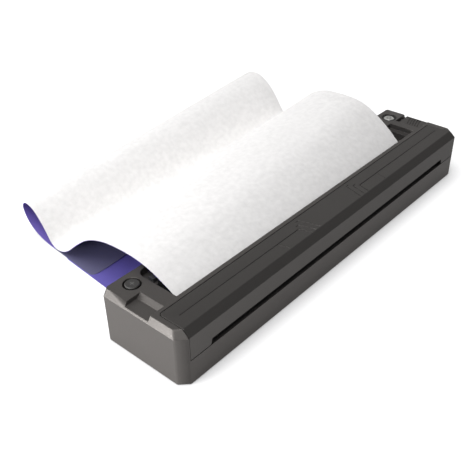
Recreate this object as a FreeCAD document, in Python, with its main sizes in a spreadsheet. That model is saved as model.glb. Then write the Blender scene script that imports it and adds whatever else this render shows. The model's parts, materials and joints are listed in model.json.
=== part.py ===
import FreeCAD, Part
import math
import os

import Sketcher
from FreeCAD import Placement, Rotation, Vector

# A portable thermal stencil copier with a loaded stencil sheet.
# Millimetres. The origin is at the middle of the underside, +X to the right end,
# +Y to the back, where the sheet goes in, and +Z up.

doc = FreeCAD.newDocument("thermal_stencil_copier")


class Size:
    """A length together with the formula that the document keeps for it."""

    def __init__(self, value, text):
        self.value = value
        self.text = text

    def __float__(self):
        return self.value

    def __neg__(self):
        return Size(-self.value, f"(0 - {self.text})")

    def __add__(self, other):
        other = as_size(other)
        return Size(self.value + other.value, f"({self.text} + {other.text})")

    def __sub__(self, other):
        other = as_size(other)
        return Size(self.value - other.value, f"({self.text} - {other.text})")

    def __rsub__(self, other):
        return as_size(other) - self

    def __mul__(self, share):
        share = as_size(share)
        return Size(self.value * share.value, f"({self.text} * {share.text})")

    def __truediv__(self, share):
        share = as_size(share)
        return Size(self.value / share.value, f"({self.text} / {share.text})")

    __radd__ = __add__
    __rmul__ = __mul__


def as_size(number):
    return number if isinstance(number, Size) else Size(float(number), repr(float(number)))


# Driving dimensions
DIMENSIONS = (
    ("path_width", 210.0, "sheet width, which sets the length of the whole machine"),
    ("end_length", 30.0, "half of the sheet's width to each end of the case"),
    ("case_depth", 55.0, "front face to rear face"),
    ("case_height", 33.0, "rest plane to top deck"),
    ("foot_stand", 0.5, "how far the feet stand proud of the underside"),
    ("corner_cut", 4.8, "flat across each vertical front corner"),
    ("top_corner_cut", 3.2, "the same flat at the top deck"),
    ("rear_corner_radius", 1.6, "vertical rear corners"),
    ("end_bevel_width", 2.4, "bevel along each end of the deck"),
    ("front_bevel_width", 4.0, "bevel along the front of the deck"),
    ("bevel_drop", 3.6, "height of both bevels"),
    ("case_wall", 2.0, "outer walls of the housing"),
    ("deck_wall", 1.5, "floor of the inlet trough"),
    ("split_height", 15.2, "top of the front wall, where the cover starts"),
    ("cover_gap", 0.3, "gap round the cover"),
    ("cover_inset", 5.7, "each end of the case to the cover"),
    ("cover_back", 7.5, "middle of the depth forward to the cover's rear edge"),
    ("cover_wall", 1.6, "walls of the cover"),
    ("cover_lip", 4.0, "drop of the cover's rear lip"),
    ("cover_corner_radius", 2.0, "rear corners of the cover in plan"),
    ("hinge_inset", 1.6, "hinge axis to the cover's front face and lower edge"),
    ("hinge_pin_radius", 0.8, "steel hinge pins"),
    ("hinge_pin_hold", 1.0, "length of a hinge pin in the housing"),
    ("hinge_pin_grip", 2.6, "length of a hinge pin inside the cover"),
    ("running_clearance", 0.05, "radial, on every running fit"),
    ("slot_side", 10.4, "half of the sheet's width to each end of the exit slot"),
    ("slot_height", 3.4, "exit slot in the cover's lower edge"),
    ("slot_slant", 1.2, "lean of the slot's ends"),
    ("trough_side", 9.3, "half of the sheet's width to each end of the inlet trough"),
    ("trough_front", 3.4, "middle of the depth forward to the inlet trough"),
    ("trough_back", 13.5, "middle of the depth back to the rear bar"),
    ("trough_floor_drop", 8.5, "deck to the floor of the trough"),
    ("crossbar_height", 1.9, "bar between cover and trough"),
    ("crossbar_bevel", 1.2, "bevel on the crossbar's rear edge"),
    ("ledge_width", 3.6, "ledge at the right end of the trough"),
    ("ledge_drop", 3.4, "deck to that ledge"),
    ("bar_roof", 2.2, "top wall of the rear bar"),
    ("finger_pocket_drop", 2.5, "deck to the floor of the finger pocket"),
    ("finger_pocket_width", 11.4, "finger pocket in from the end, at the deck"),
    ("finger_pocket_lean", 2.6, "lean of the pocket's inner wall"),
    ("finger_pocket_front", 5.0, "middle of the depth forward to the pocket"),
    ("finger_pocket_back", 11.4, "middle of the depth back to the pocket's end"),
    ("button_inset", 13.1, "each button's centre in from its end of the case"),
    ("button_back", 8.1, "each button's centre in from the rear face"),
    ("feed_button_radius", 3.9, "dark round button"),
    ("feed_well_radius", 4.9, "well round the dark button"),
    ("power_button_radius", 3.7, "silver round button"),
    ("power_well_radius", 5.2, "well round the silver button"),
    ("bezel_wall", 1.2, "ring that lines the silver button's well"),
    ("button_gap", 0.3, "between a button and the ring round it"),
    ("button_travel", 0.8, "how far a button goes down"),
    ("button_cap_height", 3.0, "height of a button's cap"),
    ("button_stem_radius", 1.5, "stem under a button's cap"),
    ("button_crown", 0.4, "bevel round a button's cap"),
    ("switch_height", 2.0, "tactile switch on its board"),
    ("switch_width", 4.0, "tactile switch across"),
    ("board_thickness", 1.0, "circuit boards"),
    ("button_board_depth", 9.0, "small switch boards, front to back"),
    ("button_board_length", 10.6, "small switch boards, left to right"),
    ("sensor_notch_length", 12.0, "arched notch for the paper sensor"),
    ("sensor_notch_depth", 11.0, "the same, front to back"),
    ("sensor_notch_drop", 4.2, "the same, downwards"),
    ("sensor_length", 6.0, "paper sensor"),
    ("sensor_width", 3.4, "paper sensor, front to back"),
    ("sensor_height", 2.4, "paper sensor"),
    ("latch_length", 16.4, "release latch, front to back"),
    ("latch_width", 12.0, "release latch, left to right"),
    ("latch_front", 5.2, "middle of the depth forward to the latch recess"),
    ("latch_recess_drop", 3.2, "deck to the floor of the latch recess"),
    ("latch_gap", 0.3, "gap round the release latch"),
    ("latch_travel", 2.0, "how far the latch slides to the rear"),
    ("latch_top_drop", 0.5, "latch below the deck"),
    ("latch_nose_width", 5.0, "nose that catches the cover"),
    ("latch_nose_height", 1.6, "the same, upwards"),
    ("rib_spacing", 1.9, "ribs on the latch"),
    ("rib_width", 0.9, "ribs on the latch"),
    ("rib_depth", 0.5, "grooves between the latch's ribs"),
    ("cover_plate_thickness", 1.8, "bottom plate"),
    ("plate_gap", 0.2, "bottom plate to the walls round it"),
    ("boss_radius", 2.8, "screw bosses"),
    ("screw_radius", 1.1, "bottom screws"),
    ("screw_head_radius", 2.2, "bottom screws"),
    ("screw_head_height", 1.2, "bottom screws"),
    ("screw_length", 7.0, "bottom screws"),
    ("foot_radius", 4.5, "rubber feet"),
    ("foot_recess", 0.6, "how far the feet are let in"),
    ("roller_radius", 6.0, "rubber platen roller"),
    ("roller_end_room", 1.8, "each end of the roller to the frame's cheek"),
    ("roller_height", 18.0, "axis of the platen roller"),
    ("roller_forward", 12.3, "axis of the roller forward of the middle"),
    ("shaft_radius", 2.0, "steel shaft of the roller"),
    ("bush_wall", 1.4, "bushes of the shaft"),
    ("bush_flange", 0.8, "bushes of the shaft"),
    ("ledge_below", 0.9, "platen frame's front ledge below the front wall"),
    ("frame_end_room", 0.1, "each cheek's inner face to the end of the trough"),
    ("frame_cheek", 3.0, "cheeks of the platen frame"),
    ("frame_wall", 1.5, "walls of the platen frame"),
    ("frame_front_gap", 0.3, "platen frame to the front wall"),
    ("roller_room", 0.7, "platen frame round the roller"),
    ("path_run", 9.7, "straight way of the sheet behind the nip"),
    ("sheet_thickness", 0.3, "solid that stands in for the sheet"),
    ("sheet_room", 0.3, "sheet to the roller under it"),
    ("guide_plate_thickness", 1.2, "ribbed paper guide"),
    ("guide_rib_width", 1.2, "ribbed paper guide"),
    ("guide_rib_spacing", 12.0, "ribbed paper guide"),
    ("guide_room", 0.9, "top of the guide's ribs to the sheet"),
    ("guide_knee_drop", 1.6, "bend of the guide's ribs below their crest"),
    ("gear_module", 0.5, "module of all four gears"),
    ("gear_width", 3.0, "gears of the outer pair"),
    ("inner_gear_width", 2.5, "gears of the inner pair"),
    ("gear_room", 0.6, "between gears and what is beside them"),
    ("gear_backlash", 0.06, "spread of the gear centres"),
    ("gear_plate_thickness", 1.2, "steel plate that carries the motor"),
    ("idler_height", 12.3, "axis of the idler gear"),
    ("idler_pin_radius", 1.0, "steel pin of the idler gear"),
    ("idler_pin_head", 1.8, "head of the idler pin"),
    ("motor_radius", 7.5, "stepper motor"),
    ("motor_length", 12.0, "stepper motor"),
    ("motor_shaft_radius", 0.75, "stepper motor"),
    ("motor_boss_radius", 2.5, "stepper motor"),
    ("head_room", 0.9, "thermal head to the roller"),
    ("head_front", 6.0, "head ahead of the nip"),
    ("head_rear", 3.0, "head behind the nip"),
    ("ceramic_thickness", 0.8, "ceramic strip with the heater line"),
    ("heatsink_thickness", 2.3, "aluminium bar behind the ceramic"),
    ("head_end_room", 1.9, "each end of the roller to the thermal head"),
    ("bracket_thickness", 0.8, "pressed steel head bracket"),
    ("head_pivot_radius", 1.0, "rod that the head turns on"),
    ("head_pivot_ahead", 8.6, "rod ahead of the nip"),
    ("head_pivot_above", 3.0, "rod above the roller's tangent"),
    ("leaf_thickness", 0.3, "leaf springs over the head"),
    ("leaf_width", 8.0, "leaf springs over the head"),
    ("board_length", 120.0, "main board"),
    ("board_depth", 16.0, "main board"),
    ("board_height", 5.0, "main board above the rest plane"),
    ("chip_height", 1.4, "tallest chips on the main board"),
    ("cell_radius", 9.1, "rechargeable cells"),
    ("cell_length", 65.0, "rechargeable cells"),
    ("cell_nub_radius", 2.6, "contact end of a cell"),
    ("cell_nub_height", 0.9, "contact end of a cell"),
    ("cell_room", 7.2, "motor to the first cell"),
    ("screw_room", 12.1, "last cell to the middle bottom screw"),
    ("cell_back", 13.4, "axis of the cells behind the middle"),
    ("holder_wall", 1.0, "cradle of the cells"),
    ("holder_gap", 0.2, "cradle to the cells"),
    ("usb_width", 9.0, "charging socket, front to back"),
    ("usb_height", 3.2, "charging socket, upwards"),
    ("usb_depth", 7.4, "charging socket, inwards"),
    ("usb_wall", 0.3, "charging socket's shell"),
    ("usb_above", 9.0, "charging socket's middle above the rest plane"),
    ("usb_back", 12.0, "charging socket's middle behind the middle"),
    ("groove_width", 0.5, "fine lines on the cover"),
    ("groove_depth", 0.35, "fine lines on the cover"),
    ("groove_forward", 15.7, "long line forward of the middle"),
    ("groove_inset", 5.8, "each end of the cover to the long line"),
    ("motif_half_gap", 23.9, "plain field between the two sets of strips"),
    ("motif_pitch", 3.2, "strips beside each other"),
    ("motif_step", 2.7, "each strip's rear end ahead of the last"),
    ("motif_rear", 10.0, "middle of the depth forward to the first strip's end"),
    ("motif_far", 49.3, "middle to the single strip on each side"),
    ("over", 1.0, "overrun of every cut"),
    ("latch_spring_width", 1.6, "folded strip spring behind the latch"),
    ("latch_spring_strip", 0.4, "folded strip spring behind the latch"),
    ("latch_spring_hole", 1.2, "blind hole for that spring"),
    ("latch_spring_depth", 4.0, "blind hole for that spring"),
    ("post_radius", 2.0, "posts under the boards"),
    ("board_screw_radius", 0.8, "screws of the main board"),
    ("board_screw_head", 1.5, "screws of the main board"),
    ("charge_board_length", 26.0, "charging board"),
    ("charge_board_depth", 16.0, "charging board"),
    ("carbon_gap", 0.1, "air under and over the second ply"),
    ("carbon_front", 1.2, "case to the second ply"),
    ("carbon_length", 77.5, "second ply, front to back"),
    ("sheet_reach", 148.0, "trough to the far bend of the sheet"),
    ("left_arch_height", 37.3, "crest of the sheet's left edge"),
    ("right_arch_height", 50.7, "crest of the sheet's right edge"),
    ("sheet_skew", 11.3, "sideways drift of the sheet over its reach"),
    ("sheet_inset", 1.3, "left end of the trough to the sheet"),
)


class Sizes:
    """The driving dimensions, one spreadsheet row each."""

    def __init__(self):
        sheet = doc.addObject("Spreadsheet::Sheet", "Sizes")
        for row, (alias, value, meaning) in enumerate(DIMENSIONS, 1):
            sheet.set(f"A{row}", meaning)
            sheet.set(f"B{row}", str(value))
            sheet.setAlias(f"B{row}", alias)
            setattr(self, alias, Size(value, f"Sizes.{alias}"))


zero = Size(0.0, "0")
given = Sizes()
doc.recompute()

# Places that several pieces share
half_width = given.path_width / 2
half_length = half_width + given.end_length
front = -given.case_depth / 2
back = given.case_depth / 2
top = given.case_height
underside = given.foot_stand
bevel_height = top - given.bevel_drop
cover_back = -given.cover_back
trough_front = -given.trough_front
trough_floor = top - given.trough_floor_drop
trough_end = half_width + given.trough_side
cover_end = half_length - given.cover_inset
bay_half = cover_end + given.cover_gap
frame_inner = trough_end - given.frame_end_room
frame_outer = frame_inner + given.frame_cheek
roller_end = frame_inner - given.roller_end_room
hinge_y = front + given.hinge_inset
hinge_z = given.split_height + given.cover_gap + given.hinge_inset
cover_low = given.split_height + given.cover_gap
plate_top = underside + given.cover_plate_thickness
notch_right = -trough_end + given.sensor_notch_length
roller_y = -given.roller_forward
roller_z = given.roller_height
well_floor = top - given.button_cap_height - given.button_travel - given.button_gap
block_ceiling = well_floor - given.deck_wall
bar_ceiling = top - given.bar_roof
button_y = back - given.button_back
feed_x = -half_length + given.button_inset
power_x = half_length - given.button_inset

# The sheet's straight way from the inlet down to the exit slot
PATH_SLOPE = 24.0
slope_sine_share = math.sin(math.radians(PATH_SLOPE))
slope_cosine_share = math.cos(math.radians(PATH_SLOPE))


def on_path(along, above):
    """The (y, z) place at a distance up the path from the nip, and above it."""
    y = roller_y + slope_cosine_share * along - slope_sine_share * (given.roller_radius + above)
    z = roller_z + slope_sine_share * along + slope_cosine_share * (given.roller_radius + above)
    return y, z


# Drawing and feature helpers
TOUCH = 0.01
parts = []


def keep(piece, label):
    """Gives a finished sub-part its name and lists it for writing."""
    piece.Label = label
    parts.append(piece)
    return piece


def new_body(label):
    return keep(doc.addObject("PartDesign::Body", label), label)


def new_sketch(body, plane, lift=zero):
    """An empty sketch on one of the body's own origin planes, raised by lift."""
    support = next(p for p in body.Origin.OriginFeatures if p.Role == plane)
    drawing = body.newObject("Sketcher::SketchObject", f"{body.Name}_drawing")
    drawing.AttachmentSupport = [(support, "")]
    drawing.MapMode = "FlatFace"
    drawing.setExpression("AttachmentOffset.Base.z", lift.text)
    return drawing


def fix_point(drawing, geometry, point, place):
    """Ties one point of a sketch to named sizes."""
    for kind, size in zip(("DistanceX", "DistanceY"), place):
        size = as_size(size)
        index = drawing.addConstraint(
            Sketcher.Constraint(kind, -1, 1, geometry, point, size.value)
        )
        drawing.setExpression(f"Constraints[{index}]", size.text)


def draw_polygon(drawing, points):
    """A closed run of straight lines whose corners are named sizes."""
    first = drawing.GeometryCount
    corners = [Vector(float(x), float(y), 0) for x, y in points]
    count = len(corners)
    lines = [Part.LineSegment(corners[i], corners[(i + 1) % count]) for i in range(count)]
    drawing.addGeometry(lines, False)
    joined = [
        Sketcher.Constraint("Coincident", first + i, 2, first + (i + 1) % count, 1)
        for i in range(count)
    ]
    drawing.addConstraint(joined)
    for i, place in enumerate(points):
        fix_point(drawing, first + i, 1, place)


def draw_circle(drawing, centre, radius):
    middle = Vector(float(centre[0]), float(centre[1]), 0)
    circle = drawing.addGeometry(Part.Circle(middle, Vector(0, 0, 1), float(radius)), False)
    fix_point(drawing, circle, 3, centre)
    index = drawing.addConstraint(Sketcher.Constraint("Radius", circle, float(radius)))
    drawing.setExpression(f"Constraints[{index}]", radius.text)


def rectangle(low_x, high_x, low_y, high_y):
    return [(low_x, low_y), (high_x, low_y), (high_x, high_y), (low_x, high_y)]


def pad(body, drawing, length, symmetric=False, backwards=False):
    """Adds material: along +Z, -Y or +X from an XY, XZ or YZ sketch."""
    feature = body.newObject("PartDesign::Pad", f"{body.Name}_pad")
    feature.Profile = drawing
    feature.setExpression("Length", length.text)
    feature.SideType = "Symmetric" if symmetric else "One side"
    feature.Reversed = backwards
    drawing.Visibility = False
    doc.recompute()
    return feature


def pocket(body, drawing, length, symmetric=False, backwards=True):
    """Removes material the way that pad adds it, and makes sure that it did."""
    volume = body.Shape.Volume
    feature = body.newObject("PartDesign::Pocket", f"{body.Name}_pocket")
    feature.Profile = drawing
    feature.setExpression("Length", length.text)
    feature.SideType = "Symmetric" if symmetric else "One side"
    feature.Reversed = backwards
    drawing.Visibility = False
    doc.recompute()
    if feature.Shape.isNull() or feature.Shape.Volume >= volume:
        raise RuntimeError(f"{feature.Name} cuts nothing")
    return feature


def add_block(body, x_range, y_range, z_range):
    drawing = new_sketch(body, "XY_Plane", as_size(z_range[0]))
    draw_polygon(drawing, rectangle(*x_range, *y_range))
    return pad(body, drawing, z_range[1] - z_range[0])


def cut_block(body, x_range, y_range, z_range):
    drawing = new_sketch(body, "XY_Plane", as_size(z_range[0]))
    draw_polygon(drawing, rectangle(*x_range, *y_range))
    return pocket(body, drawing, z_range[1] - z_range[0])


def cut_well(body, centre, radius, floor):
    """A round hole from the deck down to floor."""
    drawing = new_sketch(body, "XY_Plane", floor)
    draw_circle(drawing, centre, radius)
    return pocket(body, drawing, top - floor + given.over)


def pick_edges(feature, test):
    """Names of the edges whose two ends pass the test."""
    names = []
    for number, edge in enumerate(feature.Shape.Edges, 1):
        ends = [vertex.Point for vertex in edge.Vertexes]
        if len(ends) == 2 and test(*ends):
            names.append(f"Edge{number}")
    if not names:
        raise RuntimeError(f"no edge to dress on {feature.Name}")
    return names


def near(a, b):
    return abs(float(a) - float(b)) < TOUCH


def fillet(body, feature, radius, test):
    dressed = body.newObject("PartDesign::Fillet", f"{body.Name}_fillet")
    dressed.Base = (feature, pick_edges(feature, test))
    dressed.setExpression("Radius", radius.text)
    doc.recompute()
    return dressed


def upright(a, b):
    return near(a.x, b.x) and near(a.y, b.y)


# The moulded housing: ends, deck, front and rear walls in one piece
def case_outline(end_inset, front_inset, cut):
    left, right = -half_length + end_inset, half_length - end_inset
    low = front + front_inset
    return [
        (left, back),
        (left, low + cut),
        (left + cut, low),
        (right - cut, low),
        (right, low + cut),
        (right, back),
    ]


def main_housing():
    body = new_body("main_housing")
    lower = new_sketch(body, "XY_Plane", underside)
    draw_polygon(lower, case_outline(zero, zero, given.corner_cut))
    pad(body, lower, bevel_height - underside)

    foot = new_sketch(body, "XY_Plane", bevel_height)
    draw_polygon(foot, case_outline(zero, zero, given.corner_cut))
    crown = new_sketch(body, "XY_Plane", top)
    top_cut = given.top_corner_cut
    draw_polygon(crown, case_outline(given.end_bevel_width, given.front_bevel_width, top_cut))
    bevels = body.newObject("PartDesign::AdditiveLoft", "housing_bevels")
    bevels.Profile = foot
    bevels.Sections = [crown]
    bevels.Ruled = True
    doc.recompute()
    at_rear = float(back) - TOUCH
    fillet(
        body, bevels, given.rear_corner_radius,
        lambda a, b: min(a.y, b.y) > at_rear and not near(a.z, b.z),
    )
    return body


def hollow_housing(body):
    wall = given.case_wall
    front_half = bay_half - wall
    inner_front, inner_back = front + wall, back - wall
    inner_end = half_length - wall
    block_inner = trough_end + given.deck_wall
    bar_front = given.trough_back + given.deck_wall
    base = underside - given.over

    low = rectangle(-front_half, front_half, inner_front, inner_back)
    drawing = new_sketch(body, "XY_Plane", base)
    draw_polygon(drawing, low)
    pocket(body, drawing, trough_floor - given.deck_wall - base)
    block_top = block_ceiling - base
    for side in (-1, 1):
        outer, inner = inner_end * side, block_inner * side
        drawing = new_sketch(body, "XY_Plane", base)
        draw_polygon(drawing, rectangle(inner, outer, trough_front, inner_back))
        pocket(body, drawing, block_top)
        drawing = new_sketch(body, "XY_Plane", base)
        draw_polygon(drawing, rectangle(inner, front_half * side, cover_back, trough_front + wall))
        pocket(body, drawing, block_top)
    # The rear bar is hollow too, lower down under the sensor's notch
    beside = notch_right + wall
    cut_block(
        body, (-block_inner, beside), (bar_front, inner_back), (base, block_ceiling)
    )
    cut_block(
        body, (beside - given.over, block_inner), (bar_front, inner_back),
        (base, bar_ceiling),
    )


def open_housing(body):
    """The bay of the cover, the inlet trough and the pockets in the deck."""
    over = given.over
    bay_back = cover_back + given.cover_gap
    above = top + over
    bay = cut_block(
        body, (-bay_half, bay_half), (front - over, bay_back), (given.split_height, above)
    )
    corner = (float(bay_half), float(bay_back))
    fillet(
        body, bay, given.cover_corner_radius + given.cover_gap,
        lambda a, b: upright(a, b) and near(abs(a.x), corner[0]) and near(a.y, corner[1]),
    )
    cut_block(
        body, (-trough_end, trough_end - given.ledge_width),
        (trough_front, given.trough_back), (trough_floor, above),
    )
    cut_block(
        body, (-trough_end, trough_end), (trough_front, given.trough_back),
        (top - given.ledge_drop, above),
    )
    bar_low = top - given.crossbar_height
    cut_block(
        body, (-trough_end, trough_end - given.ledge_width),
        (bay_back - over, trough_front + over), (trough_floor - given.deck_wall, bar_low),
    )
    roller_back = roller_y + given.roller_radius + given.roller_room
    cut_block(
        body, (-trough_end, trough_end), (bay_back - over, roller_back),
        (trough_floor - given.deck_wall - over, trough_floor + over),
    )

    # The bevel on the crossbar's rear edge
    bevel = given.crossbar_bevel
    drawing = new_sketch(body, "YZ_Plane", zero)
    draw_polygon(
        drawing,
        [
            (trough_front - bevel, top),
            (trough_front + over, top - bevel - over),
            (trough_front + over, top + over),
            (trough_front - bevel, top + over),
        ],
    )
    pocket(body, drawing, trough_end * 2, symmetric=True)

    # The cover's lower edge sweeps this hollow as it turns
    drawing = new_sketch(body, "YZ_Plane", zero)
    sweep = (given.hinge_inset + given.cover_gap / 2) * math.sqrt(2)
    draw_circle(drawing, (hinge_y, hinge_z), sweep)
    pocket(body, drawing, bay_half * 2, symmetric=True)


notch_round_share = 0.4


def pocket_housing(body):
    over = given.over
    above = top + over
    # The finger pocket at the left end, with a leaning inner wall
    floor_x = -half_length + given.finger_pocket_width - given.finger_pocket_lean
    deck_x = -half_length + given.finger_pocket_width
    floor = top - given.finger_pocket_drop
    drawing = new_sketch(body, "XZ_Plane", given.finger_pocket_front)
    draw_polygon(
        drawing,
        [
            (-half_length - over, floor),
            (floor_x, floor),
            (deck_x, top),
            (deck_x, above),
            (-half_length - over, above),
        ],
    )
    length = given.finger_pocket_front + given.finger_pocket_back
    pocket(body, drawing, length, backwards=False)

    # The recess of the release latch at the right end, and its passage to the cover
    latch_in = half_length - given.latch_width - given.end_bevel_width
    latch_low = top - given.latch_recess_drop
    latch_back = -given.latch_front + given.latch_length + given.latch_travel
    cut_block(
        body, (latch_in, half_length + over), (-given.latch_front, latch_back),
        (latch_low, above),
    )
    nose = latch_nose_range()
    cut_block(
        body, (nose[0] - given.latch_gap, nose[1] + given.latch_gap),
        (cover_back - over, over - given.latch_front),
        (latch_low, latch_low + given.latch_nose_height + given.latch_gap * 2),
    )

    # Button wells, the sensor notch and the charging socket's window
    cut_well(body, (feed_x, button_y), given.feed_well_radius, well_floor)
    cut_well(body, (power_x, button_y), given.power_well_radius, well_floor)
    for x in (feed_x, power_x):
        guide = given.button_stem_radius + given.running_clearance
        cut_well(body, (x, button_y), guide, block_ceiling - over)
    notch_back = given.trough_back + given.sensor_notch_depth
    notch = cut_block(
        body, (-trough_end, notch_right), (given.trough_back - over, notch_back),
        (top - given.sensor_notch_drop, above),
    )
    fillet(
        body, notch, given.sensor_notch_length * notch_round_share,
        lambda a, b: upright(a, b) and near(a.y, notch_back) and a.x < float(notch_right) + TOUCH,
    )
    middle = given.usb_back
    across = given.usb_width / 2 + given.plate_gap / 2
    upward = given.usb_height / 2 + given.plate_gap / 2
    cut_block(
        body, (half_length - given.case_wall - over, half_length + over),
        (middle - across, middle + across),
        (given.usb_above - upward, given.usb_above + upward),
    )


def latch_nose_range():
    """The latch's nose from left to right."""
    inner = half_length - given.latch_width - given.end_bevel_width + given.latch_gap
    return inner, inner + given.latch_nose_width


boss_inset_share = 0.85
cell_pitch = given.cell_length + given.cell_nub_height
cell_start = given.motor_length + given.cell_room - frame_outer


def screw_places():
    """Middles of the bottom screws, each with the ceiling over its boss."""
    inset = given.case_wall + given.boss_radius * boss_inset_share
    end, rear = half_length - inset, back - inset
    middle = cell_start + cell_pitch * 2 + given.screw_room
    return [
        ((-end, rear), block_ceiling),
        ((middle, rear), bar_ceiling),
        ((end, rear), block_ceiling),
    ]


def bore_housing(body):
    """Bosses for the bottom screws and bores for the hinge pins."""
    for place, ceiling in screw_places():
        drawing = new_sketch(body, "XY_Plane", plate_top)
        draw_circle(drawing, place, given.boss_radius)
        pad(body, drawing, ceiling - plate_top + given.over / 2)
        drawing = new_sketch(body, "XY_Plane", plate_top - given.over)
        draw_circle(drawing, place, given.screw_radius + given.running_clearance)
        pocket(body, drawing, given.screw_length + given.over)
    bore = given.hinge_pin_radius + given.running_clearance
    for side in (-1, 1):
        start = bay_half - given.over if side > 0 else -bay_half - given.hinge_pin_hold
        drawing = new_sketch(body, "YZ_Plane", start)
        draw_circle(drawing, (hinge_y, hinge_z), bore)
        pocket(body, drawing, given.hinge_pin_hold + given.over)


housing_body = main_housing()
hollow_housing(housing_body)
open_housing(housing_body)
pocket_housing(housing_body)
bore_housing(housing_body)


# Small solids that need no sketches
def box(label, x_range, y_range, z_range):
    piece = doc.addObject("Part::Box", label)
    ranges = (x_range, y_range, z_range)
    for side, letter, (low, high) in zip(("Length", "Width", "Height"), "xyz", ranges):
        low, high = as_size(low), as_size(high)
        piece.setExpression(side, (high - low).text)
        piece.setExpression(f"Placement.Base.{letter}", low.text)
    return piece


TURNS = {
    "x": Rotation(Vector(0, 1, 0), 90),
    "y": Rotation(Vector(1, 0, 0), -90),
    "z": Rotation(),
}


def cylinder(label, axis, start, length, radius):
    """A round bar from its start point, along one axis of the frame."""
    piece = doc.addObject("Part::Cylinder", label)
    piece.Placement = Placement(Vector(), TURNS[axis])
    piece.setExpression("Radius", as_size(radius).text)
    piece.setExpression("Height", as_size(length).text)
    for letter, size in zip("xyz", start):
        piece.setExpression(f"Placement.Base.{letter}", as_size(size).text)
    return piece


def cut(label, base, tool):
    piece = doc.addObject("Part::Cut", label)
    piece.Base = base
    piece.Tool = tool
    return piece


def fuse(label, *pieces):
    piece = doc.addObject("Part::MultiFuse", label)
    piece.Shapes = list(pieces)
    return piece


def group(label, *pieces):
    """Like pieces that stay separate solids in one node."""
    piece = doc.addObject("Part::Compound", label)
    piece.Links = list(pieces)
    return piece


def ring(label, axis, start, length, outer, inner):
    body = cylinder(f"{label}_outer", axis, start, length, outer)
    hole = cylinder(f"{label}_inner", axis, start, length, inner)
    return cut(label, body, hole)


def plate_with_feet():
    """The bottom plate, its screws and the rubber feet."""
    body = new_body("bottom_plate")
    gap = given.case_wall + given.plate_gap
    low_x, high_x = -half_length + gap, half_length - gap
    low_y, high_y = front + gap, back - gap
    step_y = trough_front + given.plate_gap
    drawing = new_sketch(body, "XY_Plane", underside)
    draw_polygon(
        drawing,
        [
            (low_x, high_y),
            (low_x, step_y),
            (-bay_half + gap, step_y),
            (-bay_half + gap, low_y),
            (bay_half - gap, low_y),
            (bay_half - gap, step_y),
            (high_x, step_y),
            (high_x, high_y),
        ],
    )
    pad(body, drawing, given.cover_plate_thickness)
    for place, _ in screw_places():
        drawing = new_sketch(body, "XY_Plane", underside - given.over)
        draw_circle(drawing, place, given.screw_radius + given.plate_gap)
        pocket(body, drawing, given.cover_plate_thickness + given.over * 2)
        drawing = new_sketch(body, "XY_Plane", underside - given.over)
        draw_circle(drawing, place, given.screw_head_radius + given.plate_gap)
        pocket(body, drawing, given.over + given.screw_head_height)
    for place in foot_places():
        drawing = new_sketch(body, "XY_Plane", underside - given.over)
        draw_circle(drawing, place, given.foot_radius)
        pocket(body, drawing, given.over + given.foot_recess)

    screws = []
    for number, ((x, y), _) in enumerate(screw_places()):
        start = (x, y, underside)
        head = cylinder(
            f"screw_head_{number}", "z", start, given.screw_head_height, given.screw_head_radius
        )
        shank = cylinder(
            f"screw_shank_{number}", "z", start, given.screw_length, given.screw_radius
        )
        screws.append(fuse(f"screw_{number}", head, shank))
    keep(group("bottom_screws", *screws), "bottom_screws")
    feet = [
        cylinder(f"foot_{n}", "z", (x, y, zero), underside + given.foot_recess, given.foot_radius)
        for n, (x, y) in enumerate(foot_places())
    ]
    keep(group("rubber_feet", *feet), "rubber_feet")


rear_foot_share = 2.4


def foot_places():
    end = bay_half - given.foot_radius * 3
    fore, aft = front + given.foot_radius * 2, back - given.foot_radius * rear_foot_share
    return [(-end, fore), (end, fore), (-end, aft), (end, aft)]


plate_with_feet()


# The hinged front cover
bevel_step_share = 0.45


def cover_section():
    """Outline of the cover from front to back, seen from its end."""
    wall = given.cover_wall
    step = wall * bevel_step_share
    return [
        (front, cover_low),
        (front, bevel_height),
        (front + given.front_bevel_width, top),
        (cover_back, top),
        (cover_back, top - given.cover_lip),
        (cover_back - wall, top - given.cover_lip),
        (cover_back - wall, top - wall),
        (front + given.front_bevel_width + step, top - wall),
        (front + wall, bevel_height - step),
        (front + wall, cover_low),
    ]


def cheek_section():
    wall = given.cover_wall
    return [
        (front, cover_low),
        (front, bevel_height),
        (front + given.front_bevel_width, top),
        (cover_back, top),
        (cover_back, roller_z + given.roller_radius),
        (cover_back - wall * 3, cover_low),
    ]


def front_cover():
    body = new_body("front_cover")
    drawing = new_sketch(body, "YZ_Plane", zero)
    draw_polygon(drawing, cover_section())
    pad(body, drawing, cover_end * 2, symmetric=True)
    for start in (-cover_end, cover_end - given.cover_wall):
        drawing = new_sketch(body, "YZ_Plane", start)
        draw_polygon(drawing, cheek_section())
        last = pad(body, drawing, given.cover_wall)
    end, rear = cover_end, cover_back
    fillet(
        body, last, given.cover_corner_radius,
        lambda a, b: upright(a, b) and near(abs(a.x), end) and near(a.y, rear),
    )
    # The exit slot, whose ends lean
    slot_low, slot_high = cover_low - given.over, cover_low + given.slot_height
    wide = half_width + given.slot_side
    narrow = wide - given.slot_slant
    drawing = new_sketch(body, "XZ_Plane", -front + given.over)
    draw_polygon(
        drawing, [(-wide, slot_low), (wide, slot_low), (narrow, slot_high), (-narrow, slot_high)]
    )
    pocket(body, drawing, given.cover_wall + given.over * 2, backwards=False)
    # Bores for the hinge pins
    for side in (-1, 1):
        start = -cover_end - given.over
        start = start if side < 0 else cover_end - given.cover_wall - given.over
        drawing = new_sketch(body, "YZ_Plane", start)
        draw_circle(drawing, (hinge_y, hinge_z), given.hinge_pin_radius)
        pocket(body, drawing, given.cover_wall + given.over * 2)
    decorate_cover(body)
    return body


strip_lean_share, strip_end_share = 0.3, 0.75


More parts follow.
